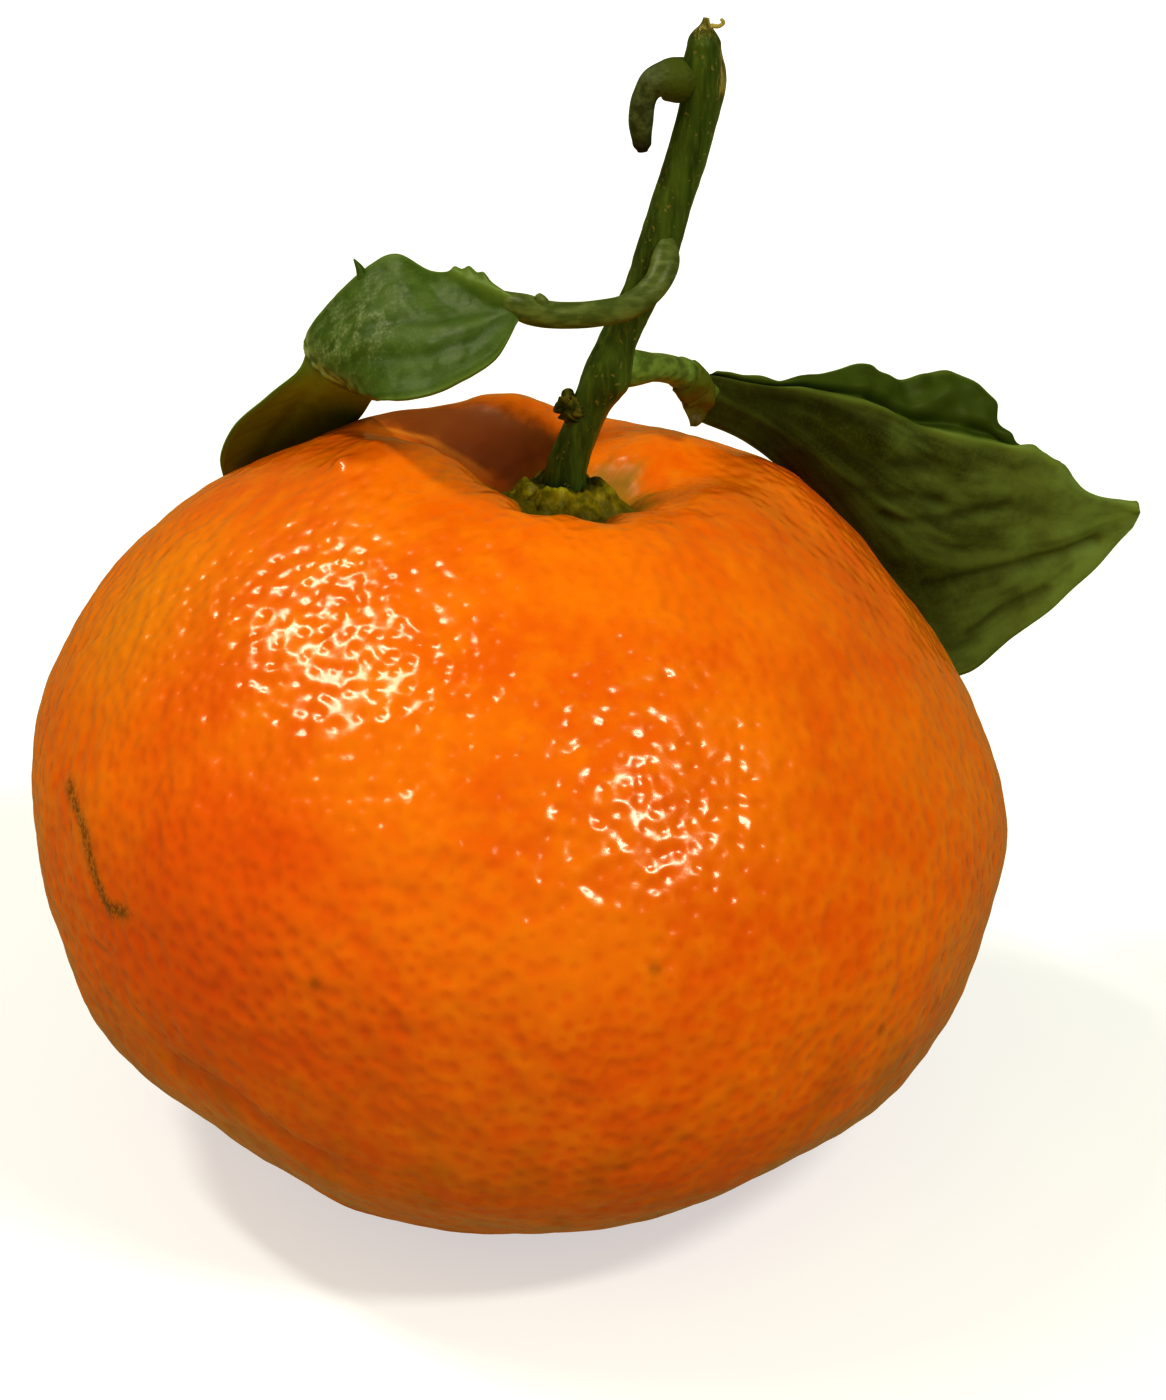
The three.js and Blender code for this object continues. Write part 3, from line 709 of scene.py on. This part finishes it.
RIGHT_GROOVES = [  # line, depth, width
    ([(0.25, 0.44), (0.307, 0.46), (0.365, 0.535), (0.42, 0.56)], 0.2, 0.6),
    ([(0.29, 0.36), (0.323, 0.385), (0.378, 0.455), (0.43, 0.47)], 0.22, 0.5),
    ([(0.32, 0.33), (0.347, 0.35), (0.43, 0.42), (0.525, 0.465), (0.6, 0.48)], 0.28, 0.45),
    ([(0.40, 0.24), (0.43, 0.255), (0.535, 0.28), (0.735, 0.275), (0.9, 0.205)], 0.4, 0.55),
    ([(0.1, 0.5), (0.2, 0.56), (0.33, 0.615)], 0.15, 0.5),
    ([(0.5, 0.12), (0.6, 0.14), (0.75, 0.12)], 0.18, 0.5),
]


def side_veins(shares, at, slant, reach):
    """Side veins that leave the midrib, at a share across, in pairs and lean towards the tip."""
    veins = []
    for s in shares:
        for direction in (-1, 1):
            vein = [(s + slant * t, at + direction * reach * t ** 0.9) for t in (0, 0.25, 0.5, 0.75, 1)]
            veins.append([(min(a, 0.98), min(max(b, 0.02), 0.98)) for a, b in vein])
    return veins


def veined(near, width, *layout):
    """How near each point is to a side vein, with 1 on it."""
    return np.max([bell(near(line), width) for line in side_veins(*layout)], axis=0)


def left_shape(share, across, middle, near):
    """The bright leaf: grooved midrib and fold, rolled root and curled margin, frayed at its bend."""
    midrib = near(LEFT_MIDRIB)
    fold = near(LEFT_FOLD)
    roll = bell(near(LEFT_ROLL), 0.5)
    before_rim = near([(s - 0.012, a) for s, a in LEFT_RIM])
    vein = veined(near, 0.2, np.arange(0.06, 0.95, 0.085), 0.53, 0.1, 0.42)
    shown = 1 - smooth(share, 0.56, 0.6)
    frayed = 0.5 + 0.5 * ripple(middle, 0.9, 35)
    relief = -0.12 * bell(midrib, 0.55) - 0.14 * bell(fold, 0.6) - 0.02 * vein * (1 - bell(midrib, 0.5))
    relief += 0.32 * roll + (0.08 + 0.1 * frayed) * bell(near(LEFT_RIM), 0.3)
    relief += shown * ripples(middle, [(0.07, 4.5, 31), (0.01, 1.1, 32)])
    relief -= 0.45 * bell(share - 0.17, 0.1) * bell(across - 0.62, 0.16)
    lift = np.zeros(middle.shape)
    for at, rise in LEFT_CURLS:
        lift[:, :, 2] += rise * bell(share - at, 0.013) * smooth(across, 0.88, 1)
    margin = np.minimum(across, 1 - across)
    rim = 0.85 * bell(before_rim, 0.72) * smooth(frayed, 0.05, 0.7) * smooth(across, 0.05, 0.45)
    return relief, lift, {
        # Painted shade in the midrib, the fold and the veins.
        "groove": np.maximum.reduce([0.35 * bell(midrib, 0.5), 0.45 * bell(fold, 0.5), 0.15 * vein]) * shown,
        "light": np.maximum(roll, 0.6 * (1 - smooth(margin, 0, 0.05)) * shown),
        "rim": rim * (1 - smooth(share, 0.553, 0.57)),
        "sheen": bell(share - 0.43, 0.13) * bell(across - 0.6, 0.33),
        "behind": smooth(share, 0.565, 0.6),
        # Painted sheen on the far margin beyond the bend.
        "pale": 0.7 * smooth(share, 0.565, 0.6) * smooth(across, 0.75, 1.0),
    }


def right_shape(share, across, middle, near):
    """The olive leaf: raised midrib and crest, deep grooves, and rolled back beyond the crest."""
    midrib = near(RIGHT_MIDRIB)
    crest = near(RIGHT_CREST)
    beyond = smooth(across, 0.665, 0.70) * (1 - smooth(share, 0.8, 0.84))
    vein = veined(near, 0.16, np.arange(0.05, 0.95, 0.075), 0.36, 0.13, 0.34) * smooth(share, 0.12, 0.35)
    groove = np.zeros(share.shape)
    relief = 0.1 * bell(midrib, 0.35) + 0.015 * vein * (1 - beyond)
    for line, depth, width in RIGHT_GROOVES:
        dip = bell(near(line), width)
        groove = np.maximum(groove, dip)
        relief -= depth * dip
    relief += 0.22 * bell(crest, 0.28) - 0.75 * bell(across - 0.725, 0.035) * beyond
    puckers = beyond * smooth(share, 0.2, 0.35) * ripple(middle, 2.4, 43)
    relief += 0.1 * ripple(middle, 5, 41) + 0.16 * puckers
    margin = np.minimum(across, 1 - across)
    light = [bell(crest, 0.3) * (1 - 0.5 * beyond), 0.3 * bell(midrib, 0.25), 0.12 * vein,
             0.5 * (1 - smooth(margin, 0, 0.03))]
    # Painted light shining through the blade: paler towards the tip and along the lower edge.
    pale = 0.85 * smooth(share, 0.3, 0.95) + 0.4 * (1 - smooth(across, 0, 0.3)) * smooth(share, 0.3, 0.5)
    return relief, 0, {
        # Painted shade in the grooves.
        "groove": 0.6 * groove,
        "light": np.maximum.reduce(light),
        # Painted shade towards the stalk end of the blade.
        "root": 1 - smooth(share, 0.08, 0.38),
        "behind": beyond,
        "pale": pale * (1 - beyond),
    }


def make_leaf_point():
    """The curled point of the left leaf's margin, standing up behind it."""
    def radius_at(s, angle):
        return (0.75 - 0.68 * s) * (1 - 0.35 * np.cos(2 * angle))
    return limb("left_point", LEFT_POINT, radius_at, 24, 40)


# ---- materials

def operator(operation, swapped=False):
    """One of the operators of a Wire, as a Math node."""
    def apply(self, other):
        return self.math(operation, *((other, self) if swapped else (self, other)))
    return apply


class Wire:
    """A socket in a material. Arithmetic on it adds Math nodes."""

    def __init__(self, paint, socket):
        self.paint = paint
        self.socket = socket

    def math(self, operation, *values):
        return self.paint.node("Math", {"operation": operation}, dict(enumerate(values)))

    __add__ = __radd__ = operator("ADD")
    __sub__ = operator("SUBTRACT")
    __rsub__ = operator("SUBTRACT", swapped=True)
    __mul__ = __rmul__ = operator("MULTIPLY")
    __truediv__ = operator("DIVIDE")
    __pow__ = operator("POWER")

    def ramp(self, low, high, start=0.0, end=1.0):
        """start below low, end above high, and a smooth step from one to the other."""
        settings = {"interpolation_type": "SMOOTHSTEP"}
        return self.paint.node("MapRange", settings, {0: self, 1: low, 2: high, 3: start, 4: end})


class Paint:
    """A material under construction, or the world's light."""

    def __init__(self, name, world=False):
        self.owner = (bpy.data.worlds if world else bpy.data.materials).new(name)
        self.owner.use_nodes = True
        self.tree = self.owner.node_tree
        self.tree.nodes.clear()
        self.colour = None

    def node(self, kind, settings=None, inputs=None, output=0):
        made = self.tree.nodes.new("ShaderNode" + kind)
        for key, value in (settings or {}).items():
            setattr(made, key, value)
        for key, value in (inputs or {}).items():
            if isinstance(value, Wire):
                self.tree.links.new(value.socket, made.inputs[key])
            else:
                made.inputs[key].default_value = value
        return Wire(self, made.outputs[output]) if made.outputs else None

    @functools.cached_property
    def place(self):
        """Where a point lies, in millimetres."""
        return self.vector("SCALE", self.node("TexCoord", output="Object"), Scale=1 / MM)

    def vector(self, operation, *values, **named):
        output = "Value" if operation in ("LENGTH", "DISTANCE", "DOT_PRODUCT") else "Vector"
        inputs = {**dict(enumerate(values)), **named}
        return self.node("VectorMath", {"operation": operation}, inputs, output)

    def parts(self, vector):
        made = self.node("SeparateXYZ", inputs={0: vector})
        return [Wire(self, made.socket.node.outputs[k]) for k in range(3)]

    def mark(self, name, output="Fac"):
        """A value that its piece was made with."""
        return self.node("Attribute", {"attribute_name": name}, output=output)

    def noise(self, per_mm, detail=2, place=None):
        inputs = {"Vector": place or self.place, "Scale": per_mm, "Detail": detail}
        return self.node("TexNoise", inputs=inputs, output="Fac")

    def mix(self, factor, colour, other):
        colour, other = (c if isinstance(c, Wire) else (*c, 1) for c in (colour, other))
        return self.node("Mix", {"data_type": "RGBA"}, {0: factor, 6: colour, 7: other}, output=2)

    def coat(self, colour, mask=None):
        """Lays a colour over the ones before it, as much as the mask says."""
        self.colour = self.mix(mask, self.colour, colour) if mask else colour

    def finish(self, roughness, relief, shine=0.5, **constants):
        """The material, from the coats so far and a relief in millimetres."""
        bump = self.node("Bump", inputs={"Height": relief, "Distance": MM})
        shader = self.node("BsdfPrincipled", inputs={
            "Base Color": self.colour, "Roughness": roughness, "Normal": bump, "Specular IOR Level": shine,
            **constants})
        return self.done(shader)

    def done(self, shader):
        self.node("OutputMaterial", inputs={"Surface": shader})
        return self.owner


RED_SIDE = (-16, -25.5, 29)
# The yellower side is partly the rind's own colour, partly painted light where the left lamp falls.
YELLOW_LIT_SIDE = (-22.5, -5, 40)
STEM_FOOT = (6.2, 0, 46.6)
RIND_DEPTH = {"Subsurface Weight": 0.06, "Subsurface Radius": (1.6, 0.6, 0.1), "Subsurface Scale": MM}


def rind_finish():
    """Waxy orange rind, pitted all over, with its redder, yellower and unripe areas and its marks; the
    yellower side is partly painted light, and there is painted shade low down, by the floor and on the
    furrow's back wall, and a painted highlight on the lip.
    """
    paint = Paint("rind")
    place = paint.place
    height = paint.parts(place)[2]
    glands = 0
    for letter, size in zip("abc", paint.parts(paint.mark("gland_sizes", "Vector"))):
        distance = paint.vector("DISTANCE", place, paint.mark("gland_" + letter, "Vector"))
        fall = (distance / size / GLAND_WIDTH) ** 2 * -1
        glands = fall.math("EXPONENT", fall) * size + glands
    calm = paint.mark("calm")
    relief = glands * (GLAND_DEPTH * (GLAND_SHARE - 1)) + paint.noise(0.85, 0) * PEBBLE_HEIGHT
    relief = relief * (1 - calm * CALMING) * height.ramp(4, 26, 0.35, 1)
    relief = relief + paint.noise(2, 3) * 0.014

    patches = paint.noise(0.11, 3)
    mottle = paint.noise(0.5, 3)
    paint.coat((0.84, 0.185, 0.001))
    paint.coat((0.9, 0.25, 0.0015), patches.ramp(0.35, 0.65))
    paint.coat((0.92, 0.3, 0.002), mottle.ramp(0.4, 0.75, 0, 0.6))
    red_side = paint.vector("DISTANCE", place, RED_SIDE) + (patches - 0.5) * 16
    paint.coat((0.8, 0.125, 0.001), red_side.ramp(4, 16, 0.7, 0))
    # Yellower towards the upper left: partly the rind's own colour, partly painted light where the left lamp
    # falls.
    yellow_lit_side = paint.vector("DISTANCE", place, YELLOW_LIT_SIDE) + (mottle - 0.5) * 8
    paint.coat((0.86, 0.33, 0.006), yellow_lit_side.ramp(1, 11, 0.8, 0))
    # Painted shade: the rind turns darker and browner towards the bottom.
    low = (height + (mottle - 0.5) * 8).ramp(0, 20, 0.62, 0)
    paint.coat((0.54, 0.12, 0.002), low)
    unripe = paint.noise(0.28, 3).ramp(0.45, 0.7) * height.ramp(10, 27, 0.5, 0)
    paint.coat((0.5, 0.2, 0.002), unripe)
    # Painted contact shade: darker still within a few millimetres of the floor.
    floor_shade = height.ramp(0.5, 6, 0.75, 0)
    paint.coat((0.3, 0.06, 0.001), floor_shade)
    deeper = paint.vector("MULTIPLY", paint.colour, (0.93, 0.64, 0.7))
    paint.coat(deeper, glands.ramp(0.02, 0.7) * height.ramp(22, 42, 0.45, 0.12))

    aside = paint.vector("MULTIPLY", paint.vector("SUBTRACT", place, STEM_FOOT), (1, 1, 0))
    away = paint.vector("LENGTH", aside)
    streak = paint.noise(5, 3, paint.vector("NORMALIZE", aside))
    green = (away + (streak - 0.5) * -5).ramp(4.6, 7.4, 1, 0) * height.ramp(30, 38)
    paint.coat((0.26, 0.21, 0.002), green * 0.75)
    # Painted shade on the back wall of the furrow behind the stem.
    wall = paint.mark("furrow_wall_shade") * paint.noise(1.3, 3).ramp(0.3, 0.65, 0.8, 1)
    wall = wall * away.ramp(6, 15, 1, 0.85)
    paint.coat((0.17, 0.045, 0.0003), wall.ramp(0.02, 0.7, 0, 0.88))
    # Painted highlight along the front lip of the stem cavity.
    paint.coat((0.93, 0.42, 0.06), paint.mark("lip_highlight") * 0.4)
    paint.coat((0.5, 0.06, 0.002), paint.mark("crease") * 0.35)
    scratch = paint.mark("scratch")
    flecks = paint.noise(3.2).ramp(0.42, 0.6)
    paint.coat((0.17, 0.075, 0.004), scratch * flecks.ramp(0, 1, 0.95, 0.55))
    paint.coat((0.6, 0.36, 0.08), scratch * flecks * 0.25)
    paint.coat((0.3, 0.09, 0.006), paint.mark("scars") * 0.75)

    roughness = paint.noise(0.9) * 0.08 + 0.17 + calm.ramp(0.6, 1) * 0.55 + green * 0.45
    return paint.finish(roughness + height.ramp(1, 8, 0.5, 0), relief, **RIND_DEPTH)


def calyx_finish():
    """Dull green skin, paler on the knobs, with painted shade in the middle and between the knobs, darker on
    the lobes, brown in spots.
    """
    paint = Paint("calyx")
    tone = paint.noise(1.3, 3)
    knob = paint.mark("knob") + (tone - 0.5) * 0.4
    reach = paint.mark("reach")
    paint.coat((0.16, 0.15, 0.004))
    paint.coat((0.31, 0.27, 0.007), tone.ramp(0.35, 0.65))
    paint.coat((0.42, 0.42, 0.02), knob.ramp(0.35, 0.8))
    # Painted shade in the middle of the star and between its knobs.
    hollow = (reach + knob * 1.6).ramp(2.2, 3.4, 0.8, 0)
    paint.coat((0.035, 0.04, 0.003), hollow)
    paint.coat((0.09, 0.08, 0.004), reach.ramp(3, 4.4, 0, 0.6))
    brown = paint.noise(0.8, 3).ramp(0.6, 0.7, 0, 0.7)
    paint.coat((0.1, 0.05, 0.005), brown)
    return paint.finish(0.5, paint.noise(3.5, 3) * 0.06, shine=0.25)


def bark_finish():
    """Green young bark with fine lengthwise streaks, corky specks and a torn, stringy top."""
    paint = Paint("green_bark")
    stretched = paint.vector("MULTIPLY", paint.place, (1, 1, 0.16))
    streaks = paint.noise(4, place=stretched)
    paint.coat((0.038, 0.07, 0.01))
    paint.coat((0.088, 0.148, 0.028), paint.noise(1.1, 4, stretched).ramp(0.3, 0.7))
    paint.coat((0.18, 0.23, 0.045), streaks.ramp(0.45, 0.8, 0, 0.4))
    specks = paint.noise(2.6, 1).ramp(0.68, 0.72, 0, 0.6)
    paint.coat((0.26, 0.22, 0.1), specks)
    share = paint.mark("share")
    to_right = (paint.parts(paint.place)[0] + (streaks - 0.5) * 1.2).ramp(15.8, 16.2)
    torn = (share + (streaks - 0.5) * 0.03).ramp(0.965, 0.985)
    torn = torn.math("MAXIMUM", torn, to_right * share.ramp(0.84, 0.87))
    wood = paint.mix(streaks.ramp(0.4, 0.6), (0.17, 0.15, 0.035), (0.42, 0.36, 0.15))
    paint.coat(wood, torn * 0.75)
    relief = paint.noise(2.2, 3, stretched) * 0.05 + streaks * 0.03 + torn * streaks * 0.3
    return paint.finish(0.4, relief, shine=0.3)


def torn_finish():
    """Pale torn wood."""
    paint = Paint("torn_wood")
    tone = paint.noise(5)
    paint.coat((0.3, 0.26, 0.08))
    paint.coat((0.62, 0.56, 0.26), tone)
    return paint.finish(0.6, tone * 0.05, shine=0.25)


def dry_bark_finish():
    """Grey-green dried bark, fresher at its root and blackened at its end."""
    paint = Paint("dry_bark")
    tone = paint.noise(1.4, 4)
    share = paint.mark("share") + (tone - 0.5) * 0.3
    paint.coat((0.05, 0.063, 0.026))
    paint.coat((0.11, 0.14, 0.07), tone.ramp(0.35, 0.65))
    paint.coat((0.08, 0.11, 0.015), share.ramp(0.2, 0.45, 1, 0))
    paint.coat((0.02, 0.015, 0.006), share.ramp(0.8, 0.95, 0, 0.85))
    return paint.finish(0.6, paint.noise(2.8, 3) * 0.12, shine=0.25)


def bud_finish():
    """Dull olive bud scales."""
    paint = Paint("bud")
    tone = paint.noise(2, 3)
    paint.coat((0.05, 0.06, 0.006))
    paint.coat((0.14, 0.13, 0.015), tone.ramp(0.4, 0.65))
    return paint.finish(0.6, tone * 0.15, shine=0.2)


def petiole_finish(name, green, light):
    """A leaf stalk, streaked roughly along its length."""
    paint = Paint(name)
    stretched = paint.vector("MULTIPLY", paint.place, (0.4, 0.6, 1))
    paint.coat(green)
    paint.coat(light, paint.noise(1.5, 4, stretched).ramp(0.35, 0.65))
    return paint.finish(0.42, paint.noise(2.5, 3, stretched) * 0.06, shine=0.3)


def joint_finish():
    """The leaf joint: green above, then olive, and brown towards its tooth."""
    paint = Paint("leaf_joint")
    tone = paint.noise(1.6, 4)
    height = paint.parts(paint.place)[2] + (tone - 0.5) * 2
    paint.coat((0.13, 0.11, 0.008))
    paint.coat((0.12, 0.16, 0.018), height.ramp(50.8, 52.4))
    paint.coat((0.09, 0.07, 0.006), height.ramp(49.2, 50.4, 0.8, 0))
    return paint.finish(0.48, tone * 0.1, shine=0.3)


def leaf_finish(name, roughness, shine, dark, light, groove, raised, frayed, beyond, pale):
    """A leathery leaf, whose colours are of its skin, painted shade in its grooves and at its root, its
    raised lines, painted sheen specks, its frayed rim, what lies beyond its bend, and its pale end, which is
    painted light."""
    paint = Paint(name)
    tone = paint.noise(0.5, 4)
    speckle = paint.noise(4.5)
    streaks = paint.noise(1, 3, paint.mark("along", "Vector")).ramp(0.35, 0.7, 0, 0.45)
    root = paint.mark("root")
    paint.coat(dark)
    paint.coat(light, tone.ramp(0.35, 0.65))
    # Painted sheen: pale specks scattered over the blade.
    paint.coat(raised, speckle.ramp(0.4, 0.8, 0, 0.15))
    paint.coat(pale, streaks * (1 - root * 0.8))
    # Painted shade towards the stalk end of the blade.
    paint.coat(groove, root * 0.36)
    paint.coat(beyond, paint.mark("behind") * tone.ramp(0.3, 0.6, 0.8, 1))
    # Painted light: sheen on the bright leaf's curled far margin, light shining through the olive leaf
    # towards its tip.
    paint.coat(pale, paint.mark("pale") * tone.ramp(0.3, 0.7, 0.6, 1))
    # Painted shade in the grooves.
    paint.coat(groove, paint.mark("groove") * 0.75)
    specks = speckle.ramp(0.42, 0.68, 0.25, 0.75) * paint.noise(0.9, 4).ramp(0.4, 0.62)
    paint.coat((0.3, 0.38, 0.25), paint.mark("sheen") * specks)
    paint.coat(raised, paint.mark("light") * 0.7)
    paint.coat(frayed, paint.mark("rim"))
    relief = paint.noise(1.4, 3) * 0.025 + speckle * 0.01
    return paint.finish(tone.ramp(0.3, 0.7, roughness - 0.06, roughness + 0.06), relief, shine)


# ---- studio

LAMPS = [  # name, direction from the fruit, direction of its long side, size, power
    ("left_lamp", (-0.55, 0.14, 0.82), (0.33, -0.8, 0.48), (400, 62), 1.55),
    ("right_lamp", (0.53, -0.46, 0.73), (0.87, 0.37, -0.32), (250, 80), 1.62),
]
LAMP_TARGET = (4, 0, 28)
LAMP_DISTANCE = 700
LAMP_COLOUR = (1, 0.94, 0.78)
BRIGHT_SIDE = (-0.46, -0.88, -0.1)
BRIGHT_LIGHT = (0.515, 0.42, 0.14, 1)
DIM_LIGHT = (0.215, 0.19, 0.075, 1)
FLOOR_COLOUR = (0.86, 0.91, 1, 1)
FLOOR_SIZE = 4000
FLOOR_DROP = 0.02  # how far it lies under the fruit, so that their faces don't coincide
FLOOR_GLOW = 0.35  # share of its own light near the fruit, which softens the shadow
FLOOR_FADE = (120, 500)  # distances between which it turns to nothing but its own light
GLOW = {"Color": (0.9, 0.95, 1, 1), "Strength": 1.25}
BACKDROP_RADIUS = 1500
BACKDROP_STEPS = 12
CAMERA_PLACE = (7.287, -271.892, 158.369)
CAMERA_TARGET = (7.287, 0, 31.584)
CAMERA_LENS = 113.945


def hide_from(piece, *rays):
    """Keeps a piece out of what some kinds of ray see."""
    for ray in rays:
        setattr(piece, "visible_" + ray, False)


def make_backdrop():
    """A plain pale sphere round everything, which gives the object no light and no shadow."""
    directions, faces = even_grid(BACKDROP_STEPS)
    backdrop = make_piece("backdrop", directions * BACKDROP_RADIUS, faces.tolist())
    paint = Paint("pale_backdrop")
    backdrop.data.materials.append(paint.done(paint.node("Emission", inputs=GLOW)))
    hide_from(backdrop, "diffuse", "glossy", "transmission", "shadow")


def make_floor():
    """A pale floor that takes a soft shadow near the fruit, and is clear from below."""
    corners = [(x * FLOOR_SIZE, y * FLOOR_SIZE, 0) for x, y in ((-1, -1), (1, -1), (1, 1), (-1, 1))]
    floor = make_piece("floor", corners, [(0, 1, 2, 3)])
    floor.location.z = -FLOOR_DROP * MM
    paint = Paint("pale_floor")
    matt = paint.node("BsdfDiffuse", inputs={"Color": FLOOR_COLOUR})
    away = paint.vector("LENGTH", paint.place).ramp(*FLOOR_FADE, FLOOR_GLOW, 1)
    paper = paint.node("MixShader", inputs={0: away, 1: matt, 2: paint.node("Emission", inputs=GLOW)})
    below = paint.node("NewGeometry", output="Backfacing")
    shader = paint.node("MixShader", inputs={0: below, 1: paper, 2: paint.node("BsdfTransparent")})
    floor.data.materials.append(paint.done(shader))
    hide_from(floor, "diffuse", "glossy")


def make_lamp(name, direction, along, size, power):
    """A distant oval lamp in a direction from the fruit, with its long side along another."""
    light = bpy.data.lights.new(name, "AREA")
    light.shape = "ELLIPSE"
    light.size, light.size_y = size[0] * MM, size[1] * MM
    light.energy = power
    light.color = LAMP_COLOUR
    lamp = add_object(name, light)
    z = Vector(direction).normalized()
    y = z.cross(Vector(along)).normalized()
    lamp.location = (Vector(LAMP_TARGET) + z * LAMP_DISTANCE) * MM
    lamp.rotation_euler = Matrix((y.cross(z), y, z)).transposed().to_euler()


def make_studio():
    """Soft light from all round, stronger and warmer from the front left, and the two lamps."""
    paint = Paint("studio", world=True)
    nearness = paint.vector("DOT_PRODUCT", paint.node("TexCoord", output="Generated"), BRIGHT_SIDE)
    dim = paint.node("Background", inputs={"Color": DIM_LIGHT})
    bright = paint.node("Background", inputs={"Color": BRIGHT_LIGHT})
    light = paint.node("MixShader", inputs={0: nearness.ramp(-0.1, 0.95), 1: dim, 2: bright})
    paint.node("OutputWorld", inputs={"Surface": light})
    scene = bpy.context.scene
    scene.world = paint.owner
    for lamp in LAMPS:
        make_lamp(*lamp)
    scene.view_settings.view_transform = "Standard"
    scene.view_settings.look = "High Contrast"


def make_camera():
    """A long lens in front of the fruit, looking down at it."""
    data = bpy.data.cameras.new("camera")
    data.lens = CAMERA_LENS
    data.sensor_width = 36
    data.clip_start = 0.01
    camera = add_object("camera", data)
    camera.location = Vector(CAMERA_PLACE) * MM
    towards = Vector(CAMERA_TARGET) * MM - camera.location
    camera.rotation_euler = towards.to_track_quat("-Z", "Y").to_euler()
    bpy.context.scene.camera = camera


# ---- the whole mandarin

def dress(piece, material, node):
    """Gives a piece its finish, and lets it stand for a node or for a part of one."""
    piece.data.materials.append(material)
    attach(piece, "root")
    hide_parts(node)


make_camera()
make_studio()
make_floor()
make_backdrop()

bark = bark_finish()
bud = bud_finish()
left_stalk = petiole_finish("left_stalk", (0.078, 0.115, 0.026), (0.155, 0.205, 0.075))
right_stalk = petiole_finish("right_stalk", (0.105, 0.165, 0.036), (0.2, 0.31, 0.08))
bright = leaf_finish(
    "bright_leaf", 0.48, 0.33, dark=(0.05, 0.102, 0.012), light=(0.076, 0.142, 0.022),
    groove=(0.022, 0.058, 0.005), raised=(0.19, 0.29, 0.07), frayed=(0.33, 0.45, 0.25),
    beyond=(0.19, 0.28, 0.005), pale=(0.105, 0.18, 0.038))
olive = leaf_finish(
    "olive_leaf", 0.55, 0.2, dark=(0.036, 0.04, 0.001), light=(0.055, 0.07, 0.002),
    groove=(0.024, 0.023, 0.001), raised=(0.2, 0.29, 0.07), frayed=(0.2, 0.26, 0.06),
    beyond=(0.06, 0.1, 0.012), pale=(0.23, 0.34, 0.12))

dress(make_fruit(), rind_finish(), "fruit")
dress(make_calyx(), calyx_finish(), "calyx")
dress(make_twig(), bark, "twig")
dress(make_stub(), dry_bark_finish(), "twig")
dress(make_fibre(), torn_finish(), "twig")
for scale in make_bud():
    dress(scale, bud, "twig")
dress(make_left_petiole(), left_stalk, "leaf_left")
dress(make_left_knob(), left_stalk, "leaf_left")
dress(make_blade("left_blade", LEFT_STATIONS, -1, left_shape), bright, "leaf_left")
dress(make_leaf_point(), bright, "leaf_left")
dress(make_right_petiole(), right_stalk, "leaf_right")
dress(make_right_neck(), right_stalk, "leaf_right")
dress(make_right_joint(), joint_finish(), "leaf_right")
dress(make_blade("right_blade", RIGHT_STATIONS, 1, right_shape), olive, "leaf_right")
